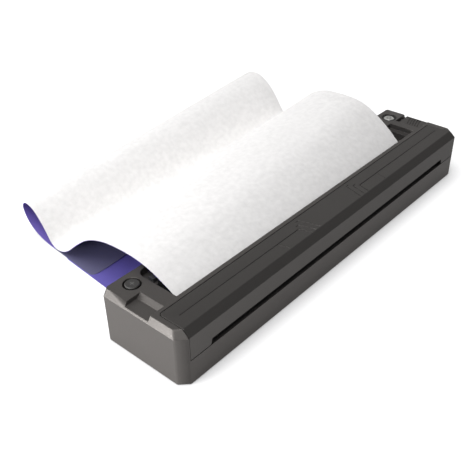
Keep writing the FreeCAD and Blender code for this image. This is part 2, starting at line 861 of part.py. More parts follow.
def decorate_cover(body):
    """Fine lines let into the cover's top: a long one and a set of strips on each side."""
    floor, wide = top - given.groove_depth, given.groove_width
    line_y, front_y = -given.groove_forward, front + given.front_bevel_width + wide
    inner = given.motif_half_gap + given.motif_pitch * 2
    rows = [
        (given.motif_half_gap + given.motif_pitch * n, -given.motif_rear - given.motif_step * n)
        for n in range(3)
    ]
    for side in (-1, 1):
        xs = sorted((inner * side, (cover_end - given.groove_inset) * side), key=float)
        cut_block(body, tuple(xs), (line_y, line_y + wide), (floor, top + given.over))
        for start, rear_y in rows[:2]:
            end = start + given.motif_pitch * strip_end_share
            xs = sorted((start * side, end * side), key=float)
            cut_block(body, tuple(xs), (rear_y - wide, rear_y), (floor, top + given.over))
        for start, rear_y in rows + [(given.motif_far, line_y)]:
            drawing = new_sketch(body, "XY_Plane", floor)
            ahead = start - (rear_y - front_y) * strip_lean_share
            draw_polygon(
                drawing,
                [
                    (start * side, rear_y),
                    ((start + wide) * side, rear_y),
                    ((ahead + wide) * side, front_y),
                    (ahead * side, front_y),
                ],
            )
            pocket(body, drawing, given.groove_depth + given.over)


front_cover()


def hinge_pins():
    pins = []
    length = given.hinge_pin_grip + given.cover_gap + given.hinge_pin_hold
    for side, name in ((-1, "left"), (1, "right")):
        inner = cover_end - given.hinge_pin_grip
        start = -inner - length if side < 0 else inner
        slack = given.cover_gap / 2
        start = start + slack if side < 0 else start
        pins.append(
            cylinder(
                f"hinge_pin_{name}", "x", (start, hinge_y, hinge_z),
                length - slack, given.hinge_pin_radius,
            )
        )
    keep(group("hinge_pins", *pins), "hinge_pins")


hinge_pins()


# The platen: rubber roller on its steel shaft, held by the platen frame
plate_x = -frame_outer - given.gear_plate_thickness
inner_gear_x = plate_x - given.gear_room - given.inner_gear_width
outer_gear_x = inner_gear_x - given.gear_room - given.gear_width


def frame_section():
    """Cross-section of the frame: exit ledge, cradle of the roller and two legs."""
    wall = given.frame_wall
    fore = front + given.case_wall + given.frame_front_gap
    cradle_front = roller_y - given.roller_radius - given.roller_room
    cradle_back = roller_y + given.roller_radius + given.roller_room
    cradle_low = roller_z - given.roller_radius - given.roller_room
    ledge = given.split_height - given.ledge_below
    crest = roller_z + given.frame_wall / 3
    shelf = trough_floor - given.deck_wall - given.frame_front_gap
    return [
        (fore, plate_top),
        (fore, ledge),
        (cradle_front, crest),
        (cradle_front, cradle_low),
        (cradle_back, cradle_low),
        (cradle_back, shelf),
        (cradle_back + wall, shelf),
        (cradle_back + wall, plate_top),
        (cradle_back, plate_top),
        (cradle_back, cradle_low - wall),
        (cradle_front - wall, cradle_low - wall),
        (cradle_front - wall, crest - wall * 2),
        (fore + wall, ledge - wall),
        (fore + wall, plate_top),
    ]


def frame_cheek_section():
    fore = front + given.case_wall + given.frame_front_gap
    rear = roller_y + given.roller_radius + given.roller_room + given.frame_wall
    shoulder = given.split_height - given.ledge_below
    high = roller_z + given.roller_radius
    shelf = trough_floor - given.deck_wall - given.frame_front_gap
    return [
        (fore, plate_top),
        (fore, shoulder),
        (fore + given.case_wall, shoulder),
        (roller_y - given.roller_radius, high),
        (roller_y + given.roller_radius / 3, high),
        (cover_back, shelf),
        (rear, shelf),
        (rear, plate_top),
    ]


def platen_frame():
    body = new_body("platen_frame")
    drawing = new_sketch(body, "YZ_Plane", zero)
    draw_polygon(drawing, frame_section())
    pad(body, drawing, frame_outer * 2, symmetric=True)
    for start in (-frame_outer, frame_inner):
        drawing = new_sketch(body, "YZ_Plane", start)
        draw_polygon(drawing, frame_cheek_section())
        pad(body, drawing, given.frame_cheek)
    for start in (-frame_outer - given.over, frame_inner - given.over):
        drawing = new_sketch(body, "YZ_Plane", start)
        draw_circle(drawing, (roller_y, roller_z), given.shaft_radius + given.bush_wall)
        pocket(body, drawing, given.frame_cheek + given.over * 2)


platen_frame()


def platen():
    axis = (roller_y, roller_z)
    length = roller_end * 2
    roller = ring(
        "platen_rubber", "x", (-roller_end, *axis), length,
        given.roller_radius, given.shaft_radius,
    )
    keep(roller, "platen_roller")
    shaft_start = outer_gear_x - given.gear_room / 2
    shaft_end = frame_outer + given.bush_flange + given.gear_room
    shaft = cylinder(
        "platen_axle", "x", (shaft_start, *axis), shaft_end - shaft_start, given.shaft_radius
    )
    keep(shaft, "platen_shaft")
    bushes = []
    bore = given.shaft_radius + given.running_clearance
    for side, name in ((-1, "left"), (1, "right")):
        outer = frame_outer + given.bush_flange
        inner = frame_inner
        sleeve_start = -frame_outer if side < 0 else inner
        flange_start = -inner if side < 0 else frame_outer
        sleeve = cylinder(
            f"bush_sleeve_{name}", "x", (sleeve_start, *axis), given.frame_cheek,
            given.shaft_radius + given.bush_wall,
        )
        flange = cylinder(
            f"bush_flange_{name}", "x", (flange_start, *axis), given.bush_flange,
            given.shaft_radius + given.bush_wall * 2,
        )
        hole = cylinder(f"bush_hole_{name}", "x", (-outer, *axis), outer * 2, bore)
        bushes.append(cut(f"bush_{name}", fuse(f"bush_solid_{name}", sleeve, flange), hole))
    keep(group("shaft_bushes", *bushes), "shaft_bushes")


platen()


# The gear train: motor pinion, compound idler and platen gear
PRESSURE_ANGLE = math.radians(20)
PLATEN_TEETH, IDLER_SMALL_TEETH, IDLER_LARGE_TEETH, PINION_TEETH = 34, 16, 36, 14
MOTOR_SIDE_ANGLE = 8.0
addendum_share, dedendum_share, backlash_share = 0.9, 1.2, 0.02


def involute(angle):
    return math.tan(angle) - angle


def gear_wire(teeth):
    """Outline of an involute gear about the origin, with a tooth at angle zero."""
    pitch = float(given.gear_module) * teeth / 2
    base = pitch * math.cos(PRESSURE_ANGLE)
    tip = pitch + addendum_share * float(given.gear_module)
    root = pitch - dedendum_share * float(given.gear_module)

    def half_angle(radius):
        turned = math.acos(base / radius) if radius > base else 0.0
        widest = math.pi / teeth * (1 - backlash_share) / 2
        return widest + involute(PRESSURE_ANGLE) - involute(turned)

    def at(radius, angle):
        return Vector(radius * math.cos(angle), radius * math.sin(angle), 0)

    start = max(base, root)
    middle = (start + tip) / 2
    edges = []
    for tooth in range(teeth):
        centre = math.tau * tooth / teeth
        after = math.tau * (tooth + 1) / teeth
        low, mid, high = half_angle(start), half_angle(middle), half_angle(tip)
        rise = [at(start, centre - low), at(middle, centre - mid), at(tip, centre - high)]
        fall = [at(tip, centre + high), at(middle, centre + mid), at(start, centre + low)]
        foot, next_foot = at(root, centre + low), at(root, after - low)
        corners = rise + fall + [foot, next_foot, at(start, after - low)]
        edges += [Part.makeLine(one, other) for one, other in zip(corners, corners[1:])]
    return Part.Wire(edges)


def gear_solid(teeth, width, phase):
    """A gear along +X from the origin, with a tooth at phase, measured from +Y to +Z."""
    solid = Part.Face(gear_wire(teeth)).extrude(Vector(0, 0, float(width)))
    solid.rotate(Vector(), Vector(0, 0, 1), 90 + phase)
    return solid.transformed(Placement(Vector(), TURNS["x"]).toMatrix())


def round_bar(start, length, radius):
    foot = Vector(float(start), 0, 0)
    return Part.makeCylinder(float(radius), float(length), foot, Vector(1, 0, 0))


def place(label, shape, x, y, z):
    """A sub-part with a shape of its own, put at a named place."""
    piece = doc.addObject("Part::Feature", label)
    piece.Shape = shape
    for letter, size in zip("xyz", (x, y, z)):
        piece.setExpression(f"Placement.Base.{letter}", as_size(size).text)
    return keep(piece, label)


def spacing(first, second):
    return given.gear_module * ((first + second) / 2) + given.gear_backlash


outer_spacing = spacing(PLATEN_TEETH, IDLER_SMALL_TEETH)
inner_spacing = spacing(IDLER_LARGE_TEETH, PINION_TEETH)
idler_z = given.idler_height
idler_drop = float(roller_z - idler_z)
idler_angle = -math.degrees(math.asin(idler_drop / float(outer_spacing)))
idler_y = roller_y + outer_spacing * math.cos(math.radians(idler_angle))
motor_y = idler_y + inner_spacing * math.cos(math.radians(MOTOR_SIDE_ANGLE))
motor_z = idler_z + inner_spacing * math.sin(math.radians(MOTOR_SIDE_ANGLE))


def gear_train():
    bore = given.running_clearance + given.idler_pin_radius
    platen_gear = gear_solid(PLATEN_TEETH, given.gear_width, idler_angle)
    platen_gear = platen_gear.cut(round_bar(zero, given.gear_width, given.shaft_radius))
    place("platen_gear", platen_gear, outer_gear_x, roller_y, roller_z)

    gap_turn = 180 / IDLER_SMALL_TEETH
    small = gear_solid(IDLER_SMALL_TEETH, given.gear_width, idler_angle + 180 + gap_turn)
    large = gear_solid(IDLER_LARGE_TEETH, given.inner_gear_width, MOTOR_SIDE_ANGLE)
    large.translate(Vector(float(inner_gear_x - outer_gear_x), 0, 0))
    length = plate_x - given.gear_room - outer_gear_x
    hub = round_bar(given.gear_width / 2, length - given.gear_width, bore + given.gear_room * 2)
    idler = small.fuse([large, hub]).cut(round_bar(zero, length, bore))
    place("idler_gear", idler, outer_gear_x, idler_y, idler_z)

    pinion_turn = MOTOR_SIDE_ANGLE + 180 + 180 / PINION_TEETH
    pinion = gear_solid(PINION_TEETH, given.inner_gear_width, pinion_turn)
    pinion = pinion.cut(round_bar(zero, given.inner_gear_width, given.motor_shaft_radius))
    place("motor_pinion", pinion, inner_gear_x, motor_y, motor_z)


gear_train()


def extrude(label, points, start, length):
    """A straight solid along +X from an outline in Y and Z."""
    drawing = doc.addObject("Sketcher::SketchObject", f"{label}_drawing")
    drawing.Placement = Placement(Vector(), Rotation(Vector(1, 1, 1), 120))
    drawing.setExpression("Placement.Base.x", as_size(start).text)
    draw_polygon(drawing, points)
    piece = doc.addObject("Part::Extrusion", label)
    piece.Base = drawing
    piece.DirMode = "Normal"
    piece.Solid = True
    piece.setExpression("LengthFwd", as_size(length).text)
    return piece


def gear_plate():
    fore = front + given.case_wall * 3
    rear = motor_y + given.motor_radius + given.plate_gap
    high = roller_z + given.roller_radius
    low_shelf = motor_z + given.motor_radius + given.plate_gap
    outline = [
        (fore, plate_top),
        (fore, given.split_height),
        (roller_y - given.roller_radius / 2, high),
        (roller_y + given.roller_radius, high),
        (idler_y, low_shelf),
        (rear, low_shelf),
        (rear, plate_top),
    ]
    blank = extrude("gear_plate_blank", outline, plate_x, given.gear_plate_thickness)
    start, through = plate_x - given.over, given.gear_plate_thickness + given.over * 2
    shaft_hole = cylinder(
        "plate_shaft_hole", "x", (start, roller_y, roller_z), through,
        given.shaft_radius + given.bush_wall * 2,
    )
    motor_hole = cylinder(
        "plate_motor_hole", "x", (start, motor_y, motor_z), through, given.motor_boss_radius
    )
    pin_hole = cylinder(
        "plate_pin_hole", "x", (start, idler_y, idler_z), through, given.idler_pin_radius
    )
    holes = fuse("plate_holes", shaft_hole, motor_hole, pin_hole)
    keep(cut("gear_plate_cut", blank, holes), "gear_plate")

    head_length = given.gear_room
    pin_start = outer_gear_x - given.gear_room / 2
    pin = cylinder(
        "pin_bar", "x", (pin_start, idler_y, idler_z),
        plate_x + given.gear_plate_thickness - pin_start, given.idler_pin_radius,
    )
    head = cylinder(
        "pin_head", "x", (pin_start - head_length, idler_y, idler_z), head_length,
        given.idler_pin_head,
    )
    keep(fuse("pin_whole", pin, head), "idler_pin")

    case = cylinder(
        "motor_can", "x", (-frame_outer, motor_y, motor_z), given.motor_length,
        given.motor_radius,
    )
    boss = cylinder(
        "motor_boss", "x", (plate_x, motor_y, motor_z), given.gear_plate_thickness,
        given.motor_boss_radius,
    )
    depth = given.gear_plate_thickness + given.motor_length / 3
    hole = cylinder(
        "motor_bore", "x", (plate_x - given.over, motor_y, motor_z), depth + given.over,
        given.motor_shaft_radius + given.running_clearance,
    )
    keep(cut("motor_whole", fuse("motor_solid", case, boss), hole), "feed_motor")
    shaft_end = plate_x + depth - given.gear_room / 2
    shaft = cylinder(
        "motor_bar", "x", (inner_gear_x, motor_y, motor_z), shaft_end - inner_gear_x,
        given.motor_shaft_radius,
    )
    keep(shaft, "motor_shaft")


gear_plate()


# The thermal head, hinged on a rod inside the cover
FIN_STEPS = 5
leaf_spread_share, leaf_lift_share = 0.6, 0.2


def thermal_head():
    low, mid = given.head_room, given.head_room + given.ceramic_thickness
    high = mid + given.heatsink_thickness
    fore, aft = -given.head_front, given.head_rear
    half = roller_end - given.head_end_room
    body = new_body("head_ceramic")
    drawing = new_sketch(body, "YZ_Plane", zero)
    corners = rectangle(fore, aft, low, mid)
    draw_polygon(drawing, [on_path(along, above) for along, above in corners])
    pad(body, drawing, half * 2, symmetric=True)

    body = new_body("head_heatsink")
    drawing = new_sketch(body, "YZ_Plane", zero)
    step = (given.head_front + given.head_rear) / FIN_STEPS
    floor = high - given.heatsink_thickness / 2
    outline = [(fore, mid), (aft, mid)]
    for number in range(FIN_STEPS):
        height = floor if number % 2 else high
        outline.append((aft - step * number, height))
        outline.append((aft - step * (number + 1), height))
    draw_polygon(drawing, [on_path(along, above) for along, above in outline])
    pad(body, drawing, half * 2, symmetric=True)

    pivot = on_path(-given.head_pivot_ahead, given.head_pivot_above)
    plate = given.bracket_thickness
    body = new_body("head_bracket")
    drawing = new_sketch(body, "YZ_Plane", zero)
    curl = high + plate - given.head_pivot_above
    corners = rectangle(-given.head_pivot_ahead, aft, high, high + plate)
    draw_polygon(drawing, [on_path(along, above) for along, above in corners])
    pad(body, drawing, half * 2, symmetric=True)
    drawing = new_sketch(body, "YZ_Plane", zero)
    draw_circle(drawing, pivot, curl)
    pad(body, drawing, half * 2, symmetric=True)
    drawing = new_sketch(body, "YZ_Plane", zero)
    draw_circle(drawing, pivot, given.head_pivot_radius + given.running_clearance)
    pocket(body, drawing, half * 2 + given.over, symmetric=True)

    inner = cover_end - given.cover_wall
    rod = cylinder("pivot_bar", "x", (-inner, *pivot), inner * 2, given.head_pivot_radius)
    keep(rod, "head_pivot_rod")

    leaf = given.leaf_thickness
    ceiling = top - given.cover_wall
    rest_y, rest_z = on_path(-given.head_rear, high + plate)
    root_y = cover_back - given.cover_wall * 2
    bend_y = root_y - given.cover_wall
    outline = [
        (root_y, ceiling),
        (bend_y, ceiling),
        (rest_y, rest_z + leaf * (1 + leaf_lift_share)),
        (rest_y, rest_z + leaf * leaf_lift_share),
        (bend_y, ceiling - leaf),
        (root_y, ceiling - leaf),
    ]
    leaves = []
    for number in range(3):
        middle = half * leaf_spread_share * (number - 1)
        leaves.append(
            extrude(f"leaf_{number}", outline, middle - given.leaf_width / 2, given.leaf_width)
        )
    keep(group("leaf_springs", *leaves), "head_springs")


thermal_head()


# The ribbed guide in the inlet trough
crest_share = 0.53


def paper_guide():
    body = new_body("paper_guide")
    left = -trough_end + given.plate_gap
    right = left + given.path_width
    fore, aft = trough_front, given.trough_back - given.plate_gap
    plate = trough_floor + given.guide_plate_thickness
    add_block(body, (left, right), (fore, aft), (trough_floor, plate))
    crest = top - given.guide_room
    knee_z = crest - given.guide_knee_drop
    foot_y = roller_y + given.roller_radius + given.roller_room + given.frame_wall
    # The ribs keep their room under the straight way of the sheet
    slope_share = slope_sine_share / slope_cosine_share
    nip_y, nip_z = on_path(zero, given.sheet_room)
    foot_z = nip_z - given.guide_room + (foot_y - nip_y) * slope_share
    knee_y = foot_y + (knee_z - foot_z) / slope_share
    outline = [
        (foot_y, trough_floor),
        (foot_y, foot_z),
        (knee_y, knee_z),
        (knee_y + (aft - knee_y) * crest_share, crest),
        (aft, crest),
        (aft, trough_floor),
    ]
    first = left + given.guide_rib_spacing / 3
    drawing = new_sketch(body, "YZ_Plane", first)
    draw_polygon(drawing, outline)
    rib = pad(body, drawing, given.guide_rib_width)
    room = given.path_width - given.guide_rib_spacing / 3
    count = int(room.value / given.guide_rib_spacing.value) + 1
    ribs = body.newObject("PartDesign::LinearPattern", "guide_ribs")
    ribs.Originals = [rib]
    axis = next(a for a in body.Origin.OriginFeatures if a.Role == "X_Axis")
    ribs.Direction = (axis, [""])
    ribs.setExpression("Length", (given.guide_rib_spacing * (count - 1)).text)
    ribs.Occurrences = count
    body.Tip = ribs
    doc.recompute()


paper_guide()


# Buttons, switches and the paper sensor
switch_top = block_ceiling - given.button_travel * 2


def button(label, x, radius, high):
    """A round cap on a stem, turned about its own axis."""
    body = new_body(label)
    body.setExpression("Placement.Base.x", x.text)
    body.setExpression("Placement.Base.y", button_y.text)
    low = high - given.button_cap_height
    stem = given.button_stem_radius
    crown = given.button_crown
    tip = switch_top + given.button_travel + given.running_clearance * 2
    drawing = new_sketch(body, "XZ_Plane")
    draw_polygon(
        drawing,
        [
            (zero, tip),
            (stem, tip),
            (stem, low),
            (radius, low),
            (radius, high - crown),
            (radius - crown, high),
            (zero, high),
        ],
    )
    turned = body.newObject("PartDesign::Revolution", f"{label}_turned")
    turned.Profile = drawing
    turned.ReferenceAxis = (drawing, ["V_Axis"])
    turned.Angle = 360
    drawing.Visibility = False
    doc.recompute()
    return body


def switch_board(label, x):
    """A small board with its tactile switch, held by the rear wall."""
    board_top = switch_top - given.switch_height
    rear = back - given.case_wall - given.plate_gap
    half = given.button_board_length / 2
    board = box(
        f"{label}_board", (x - half, x + half), (rear - given.button_board_depth, rear),
        (board_top - given.board_thickness, board_top),
    )
    across = given.switch_width / 2
    switch = box(
        f"{label}_switch", (x - across, x + across), (button_y - across, button_y + across),
        (board_top, switch_top),
    )
    keep(fuse(f"{label}_whole", board, switch), label)


button("feed_button", feed_x, given.feed_button_radius, top + given.button_gap)
button("power_button", power_x, given.power_button_radius, top - given.button_gap)
switch_board("feed_switch_board", feed_x)
switch_board("power_switch_board", power_x)
bezel = ring(
    "bezel", "z", (power_x, button_y, well_floor), top - well_floor - given.button_gap,
    given.power_well_radius, given.power_well_radius - given.bezel_wall,
)
keep(bezel, "power_bezel")


eye_shares = (0.28, 0.72)


def paper_sensor():
    left = -trough_end + given.sensor_notch_length / 2 - given.sensor_length / 2
    low = top - given.sensor_notch_drop
    rear = given.trough_back + given.sensor_notch_depth / 2
    body = box(
        "sensor_body", (left, left + given.sensor_length), (rear - given.sensor_width, rear),
        (low, low + given.sensor_height),
    )
    eye = given.sensor_width / 4
    eyes = [
        cylinder(
            f"sensor_eye_{n}", "z",
            (left + given.sensor_length * share, rear - given.sensor_width / 2, low),
            given.sensor_height + given.running_clearance * 4, eye,
        )
        for n, share in enumerate(eye_shares)
    ]
    keep(fuse("sensor_whole", body, *eyes), "paper_sensor")


paper_sensor()


# The release latch at the right end
first_rib_share, rib_lean_share, spring_height_share = 0.8, 1.5, 0.42
SPRING_FOLDS = 7


def fold_spring(x, start, z):
    """A strip of spring steel, folded to and fro behind the latch."""
    length = given.latch_spring_depth + given.latch_travel
    step, strip = length / SPRING_FOLDS, given.latch_spring_strip
    high, low = given.latch_spring_width / 2, z - strip / 2
    lower = [(start + step * n, low + (high if n % 2 else -high)) for n in range(SPRING_FOLDS + 1)]
    upper = [(y, height + strip) for y, height in reversed(lower)]
    outline = lower + upper
    folded = extrude("folded_strip", outline, x - high / 2, high)
    keep(folded, "latch_spring")


def release_latch():
    body = new_body("release_latch")
    gap = given.latch_gap
    low = top - given.latch_recess_drop + gap
    high = top - given.latch_top_drop
    inner = half_length - given.latch_width - given.end_bevel_width + gap
    lean = given.end_bevel_width / given.bevel_drop.value
    outer_low = half_length - lean * (low.value - bevel_height.value) - gap
    outer_high = half_length - lean * (high.value - bevel_height.value) - gap
    fore = -given.latch_front + gap
    aft = -given.latch_front + given.latch_length - gap
    drawing = new_sketch(body, "XZ_Plane", -fore)
    draw_polygon(drawing, [(inner, low), (outer_low, low), (outer_high, high), (inner, high)])
    pad(body, drawing, aft - fore, backwards=True)
    nose_left, nose_right = latch_nose_range()
    tip = cover_back + gap
    nose_top = low + given.latch_nose_height
    add_block(body, (nose_left, nose_right), (tip, fore + given.over), (low, nose_top))
    # Slanted ribs: the grooves between them
    groove = given.rib_spacing - given.rib_width
    floor = high - given.rib_depth
    lean_back = given.rib_spacing * rib_lean_share
    left, right = inner + given.rib_width, outer_high - given.rib_width
    count = int((aft.value - fore.value - lean_back.value) / given.rib_spacing.value) - 1
    for number in range(count):
        start = fore + given.rib_spacing * (number + first_rib_share)
        drawing = new_sketch(body, "XY_Plane", floor)
        draw_polygon(
            drawing,
            [
                (left, start),
                (right, start + lean_back),
                (right, start + lean_back + groove),
                (left, start + groove),
            ],
        )
        pocket(body, drawing, given.rib_depth + given.over)
    # Blind hole for the return spring
    middle_z = low + (high - low) * spring_height_share
    middle_x = (inner + outer_low) / 2
    drawing = new_sketch(body, "XZ_Plane", -aft - given.over)
    draw_circle(drawing, (middle_x, middle_z), given.latch_spring_hole)
    pocket(body, drawing, given.latch_spring_depth + given.over, backwards=True)
    fold_spring(middle_x, aft - given.latch_spring_depth + gap / 2, middle_z)


release_latch()


# Power and control: boards, cells and the charging socket
def post_places():
    half_x = given.board_length / 2 - given.post_radius * 1.5
    middle_y = board_middle_y()
    half_y = given.board_depth / 2 - given.post_radius * 1.2
    return [(x, middle_y + y) for x in (-half_x, half_x) for y in (-half_y, half_y)]


def board_middle_y():
    return roller_y - given.roller_radius / 3


def charge_board_low():
    return given.usb_above - given.usb_height / 2 - given.board_thickness


def charge_places():
    right = half_length - given.case_wall - given.post_radius * 2
    left = right - given.charge_board_length + given.post_radius * 3
    return [(x, given.usb_back) for x in (left, right - given.usb_depth)]


charge_chip_share = 0.8


def boards():
    middle_y = board_middle_y()
    half_x, half_y = given.board_length / 2, given.board_depth / 2
    low, high = given.board_height, given.board_height + given.board_thickness
    depth_range = (middle_y - half_y, middle_y + half_y)
    board = box("board_blank", (-half_x, half_x), depth_range, (low, high))
    through = given.board_thickness + given.over * 2
    clear = given.board_screw_radius + given.running_clearance
    holes = [
        cylinder(f"board_hole_{n}", "z", (x, y, low - given.over), through, clear)
        for n, (x, y) in enumerate(post_places())
    ]
    keep(cut("main_board_cut", board, fuse("board_holes", *holes)), "main_board")

    # Processor, driver, coil and connector: place and size as shares of the board
    chip_shares = (
        (-0.28, 0.10, 0.10, 0.55),
        (0.02, -0.05, 0.07, 0.45),
        (0.22, 0.08, 0.06, 0.50),
        (0.38, -0.05, 0.10, 0.40),
    )
    chip_step_share = 0.12
    chips = []
    for number, (along, across, length, depth) in enumerate(chip_shares):
        x = given.board_length * along
        y = middle_y + given.board_depth * across
        half_chip, half_depth = given.board_length * length / 2, given.board_depth * depth / 2
        chips.append(
            box(
                f"chip_{number}", (x - half_chip, x + half_chip), (y - half_depth, y + half_depth),
                (high, high + given.chip_height * (1 - number * chip_step_share)),
            )
        )
    keep(group("board_chips", *chips), "board_chips")

    screws = []
    for number, (x, y) in enumerate(post_places()):
        start = high - given.board_height / 2
        shank = cylinder(
            f"board_shank_{number}", "z", (x, y, start), high - start, given.board_screw_radius
        )
        head = cylinder(
            f"board_head_{number}", "z", (x, y, high), given.board_screw_radius,
            given.board_screw_head,
        )
        screws.append(fuse(f"board_screw_{number}", shank, head))
    keep(group("board_screw_group", *screws), "board_screws")

    right = half_length - given.case_wall - given.plate_gap
    low = charge_board_low()
    half_y = given.charge_board_depth / 2
    plate = box(
        "charge_plate", (right - given.charge_board_length, right),
        (given.usb_back - half_y, given.usb_back + half_y), (low, low + given.board_thickness),
    )
    chip_left = right - given.charge_board_length * charge_chip_share
    chip = box(
        "charge_chip", (chip_left, right - given.charge_board_length / 2),
        (given.usb_back - half_y / 2, given.usb_back + half_y / 2),
        (low + given.board_thickness, low + given.board_thickness + given.chip_height),
    )
    keep(fuse("charge_whole", plate, chip), "charge_board")


def post_bottom_plate(body):
    """Posts that carry the boards, with pilot holes for the screws."""
    for x, y in post_places():
        drawing = new_sketch(body, "XY_Plane", plate_top - given.over / 2)
        draw_circle(drawing, (x, y), given.post_radius)
        pad(body, drawing, given.board_height - plate_top + given.over / 2)
        drawing = new_sketch(body, "XY_Plane", plate_top)
        draw_circle(drawing, (x, y), given.board_screw_radius + given.running_clearance)
        pocket(body, drawing, given.board_height - plate_top + given.over)
    for x, y in charge_places():
        drawing = new_sketch(body, "XY_Plane", plate_top - given.over / 2)
        draw_circle(drawing, (x, y), given.post_radius)
        pad(body, drawing, charge_board_low() - plate_top + given.over / 2)


boards()
post_bottom_plate(next(p for p in parts if p.Label == "bottom_plate"))


tongue_width_share, tongue_length_share = 0.7, 0.8


def charging_socket():
    """A flat, round-ended metal shell with a tongue inside."""
    middle_y, middle_z = given.usb_back, given.usb_above
    half_y, half_z = given.usb_width / 2, given.usb_height / 2
    start = half_length - given.usb_depth
    body = new_body("charging_socket")

    flat = half_y - half_z
    for inset, cutting in ((zero, False), (given.usb_wall, True)):
        radius = half_z - inset
        first = start if not cutting else start + given.usb_wall
        length = given.usb_depth - given.plate_gap
        for shape in ("block", "left", "right"):
            drawing = new_sketch(body, "YZ_Plane", first)
            if shape == "block":
                draw_polygon(
                    drawing,
                    rectangle(middle_y - flat, middle_y + flat, middle_z - radius, middle_z + radius),
                )
            else:
                side = flat if shape == "right" else -flat
                draw_circle(drawing, (middle_y + side, middle_z), radius)
            if cutting:
                pocket(body, drawing, length)
            else:
                pad(body, drawing, length)
    tongue_y, tongue_z = half_y * tongue_width_share, given.usb_wall
    drawing = new_sketch(body, "YZ_Plane", start)
    draw_polygon(
        drawing,
        rectangle(middle_y - tongue_y, middle_y + tongue_y, middle_z - tongue_z, middle_z + tongue_z),
    )
    pad(body, drawing, given.usb_depth * tongue_length_share)


charging_socket()


def cells():
    axis_y = given.cell_back
    axis_z = plate_top + given.holder_wall + given.holder_gap + given.cell_radius
    row = []
    for number in range(2):
        start = cell_start + cell_pitch * number
        can = cylinder(
            f"can_{number}", "x", (start, axis_y, axis_z), given.cell_length, given.cell_radius
        )
        nub = cylinder(
            f"nub_{number}", "x", (start + given.cell_length, axis_y, axis_z),
            given.cell_nub_height, given.cell_nub_radius,
        )
        row.append(fuse(f"cell_{number}", can, nub))
    keep(group("cell_row", *row), "battery_cells")

    body = new_body("battery_holder")
    wall, gap = given.holder_wall, given.holder_gap
    inner = given.cell_radius + gap
    outer = inner + wall
    start = cell_start - gap - wall
    length = cell_pitch * 2 + (gap + wall) * 2
    drawing = new_sketch(body, "YZ_Plane", start)
    draw_polygon(
        drawing, rectangle(axis_y - outer, axis_y + outer, plate_top, axis_z)
    )
    pad(body, drawing, length)
    drawing = new_sketch(body, "YZ_Plane", start + wall)
    draw_circle(drawing, (axis_y, axis_z), inner)
    pocket(body, drawing, length - wall * 2)


cells()


# The loaded stencil sheet, arched and curled as it lies, and the ply under its tail
# Each pair is a share of the sheet's reach and of the crest's height on that edge
LEFT_EDGE_SHARES = (
    (0.010, 0.800), (0.044, 0.862),
    (0.079, 0.905), (0.130, 0.965), (0.183, 0.995), (0.239, 1.000), (0.296, 0.984),
    (0.357, 0.952), (0.407, 0.912), (0.449, 0.852), (0.492, 0.777), (0.538, 0.675),
    (0.612, 0.434), (0.672, 0.215), (0.720, 0.085), (0.760, 0.036), (0.793, 0.038),
    (0.822, 0.115), (0.846, 0.262), (0.880, 0.420), (0.926, 0.560), (0.968, 0.582),
    (0.994, 0.530), (1.003, 0.430), (0.987, 0.260), (0.945, 0.120), (0.890, 0.045),
    (0.830, 0.018), (0.760, 0.0174), (0.680, 0.0174), (0.600, 0.0174), (0.521, 0.0174),
)
RIGHT_EDGE_SHARES = (
    (0.008, 0.615), (0.048, 0.715),
    (0.082, 0.785), (0.123, 0.860), (0.182, 0.949), (0.241, 0.995), (0.317, 1.000),
    (0.407, 0.978), (0.467, 0.933), (0.528, 0.830), (0.586, 0.672), (0.627, 0.505),
    (0.658, 0.398), (0.684, 0.368), (0.709, 0.410), (0.741, 0.540), (0.797, 0.722),
    (0.856, 0.830), (0.906, 0.852), (0.955, 0.812), (0.992, 0.710), (1.009, 0.562),
    (0.999, 0.395), (0.968, 0.247), (0.921, 0.128), (0.868, 0.055), (0.814, 0.022),
    (0.760, 0.0130), (0.700, 0.0128), (0.630, 0.0128),
)
# Ahead of them both edges follow the straight way up from the nip, by these shares of it
RUN_SHARES = (0.0, 0.13, 0.55, 1.0)
# Places along the two edges that match each other: nip, crest, valley, second crest,
# far bend, floor and end. Then the facets from each one to the next.
LEFT_TURNS = (0, 9, 19, 25, 27, 32, 35)
RIGHT_TURNS = (0, 10, 17, 22, 25, 31, 33)
FACETS = (8, 9, 7, 4, 7, 3)


def edge_line(shares, crest, turns):
    """Middle line of one edge of the sheet, from the nip outwards, with its sideways ways."""
    reach = given.sheet_reach.value
    places = []
    for run_share in RUN_SHARES:
        y, z = on_path(given.path_run * run_share, given.sheet_room + given.sheet_thickness / 2)
        places.append(Vector(y.value, z.value, 0))
    for y_share, z_share in shares:
        places.append(Vector(trough_front.value + reach * y_share, crest.value * z_share, 0))
    curve = Part.BSplineCurve()
    curve.interpolate(places)
    stops = [curve.parameter(places[n]) for n in turns]
    points = []
    for first, last, count in zip(stops, stops[1:], FACETS):
        points += curve.discretize(Number=count + 1, First=first, Last=last)[:-1]
    points.append(places[-1])
    ways = [curve.tangent(curve.parameter(point))[0] for point in points]
    return points, ways


def sheet_sides(shares, crest, turns, start_x):
    """The upper and lower line of one edge, half the sheet's thickness to each side."""
    drift = given.sheet_skew.value / given.sheet_reach.value
    sides = []
    for half in (given.sheet_thickness.value / 2, -given.sheet_thickness.value / 2):
        side = []
        for point, way in zip(*edge_line(shares, crest, turns)):
            y, z = point.x - way.y * half, point.y + way.x * half
            side.append(Vector(start_x + drift * (y - trough_front.value), y, z))
        sides.append(side)
    return sides


def flat_faces(*corners):
    """One flat face for each three of four corners."""
    first, second, third, fourth = corners
    return [
        Part.Face(Part.makePolygon([first, second, third, first])),
        Part.Face(Part.makePolygon([first, third, fourth, first])),
    ]


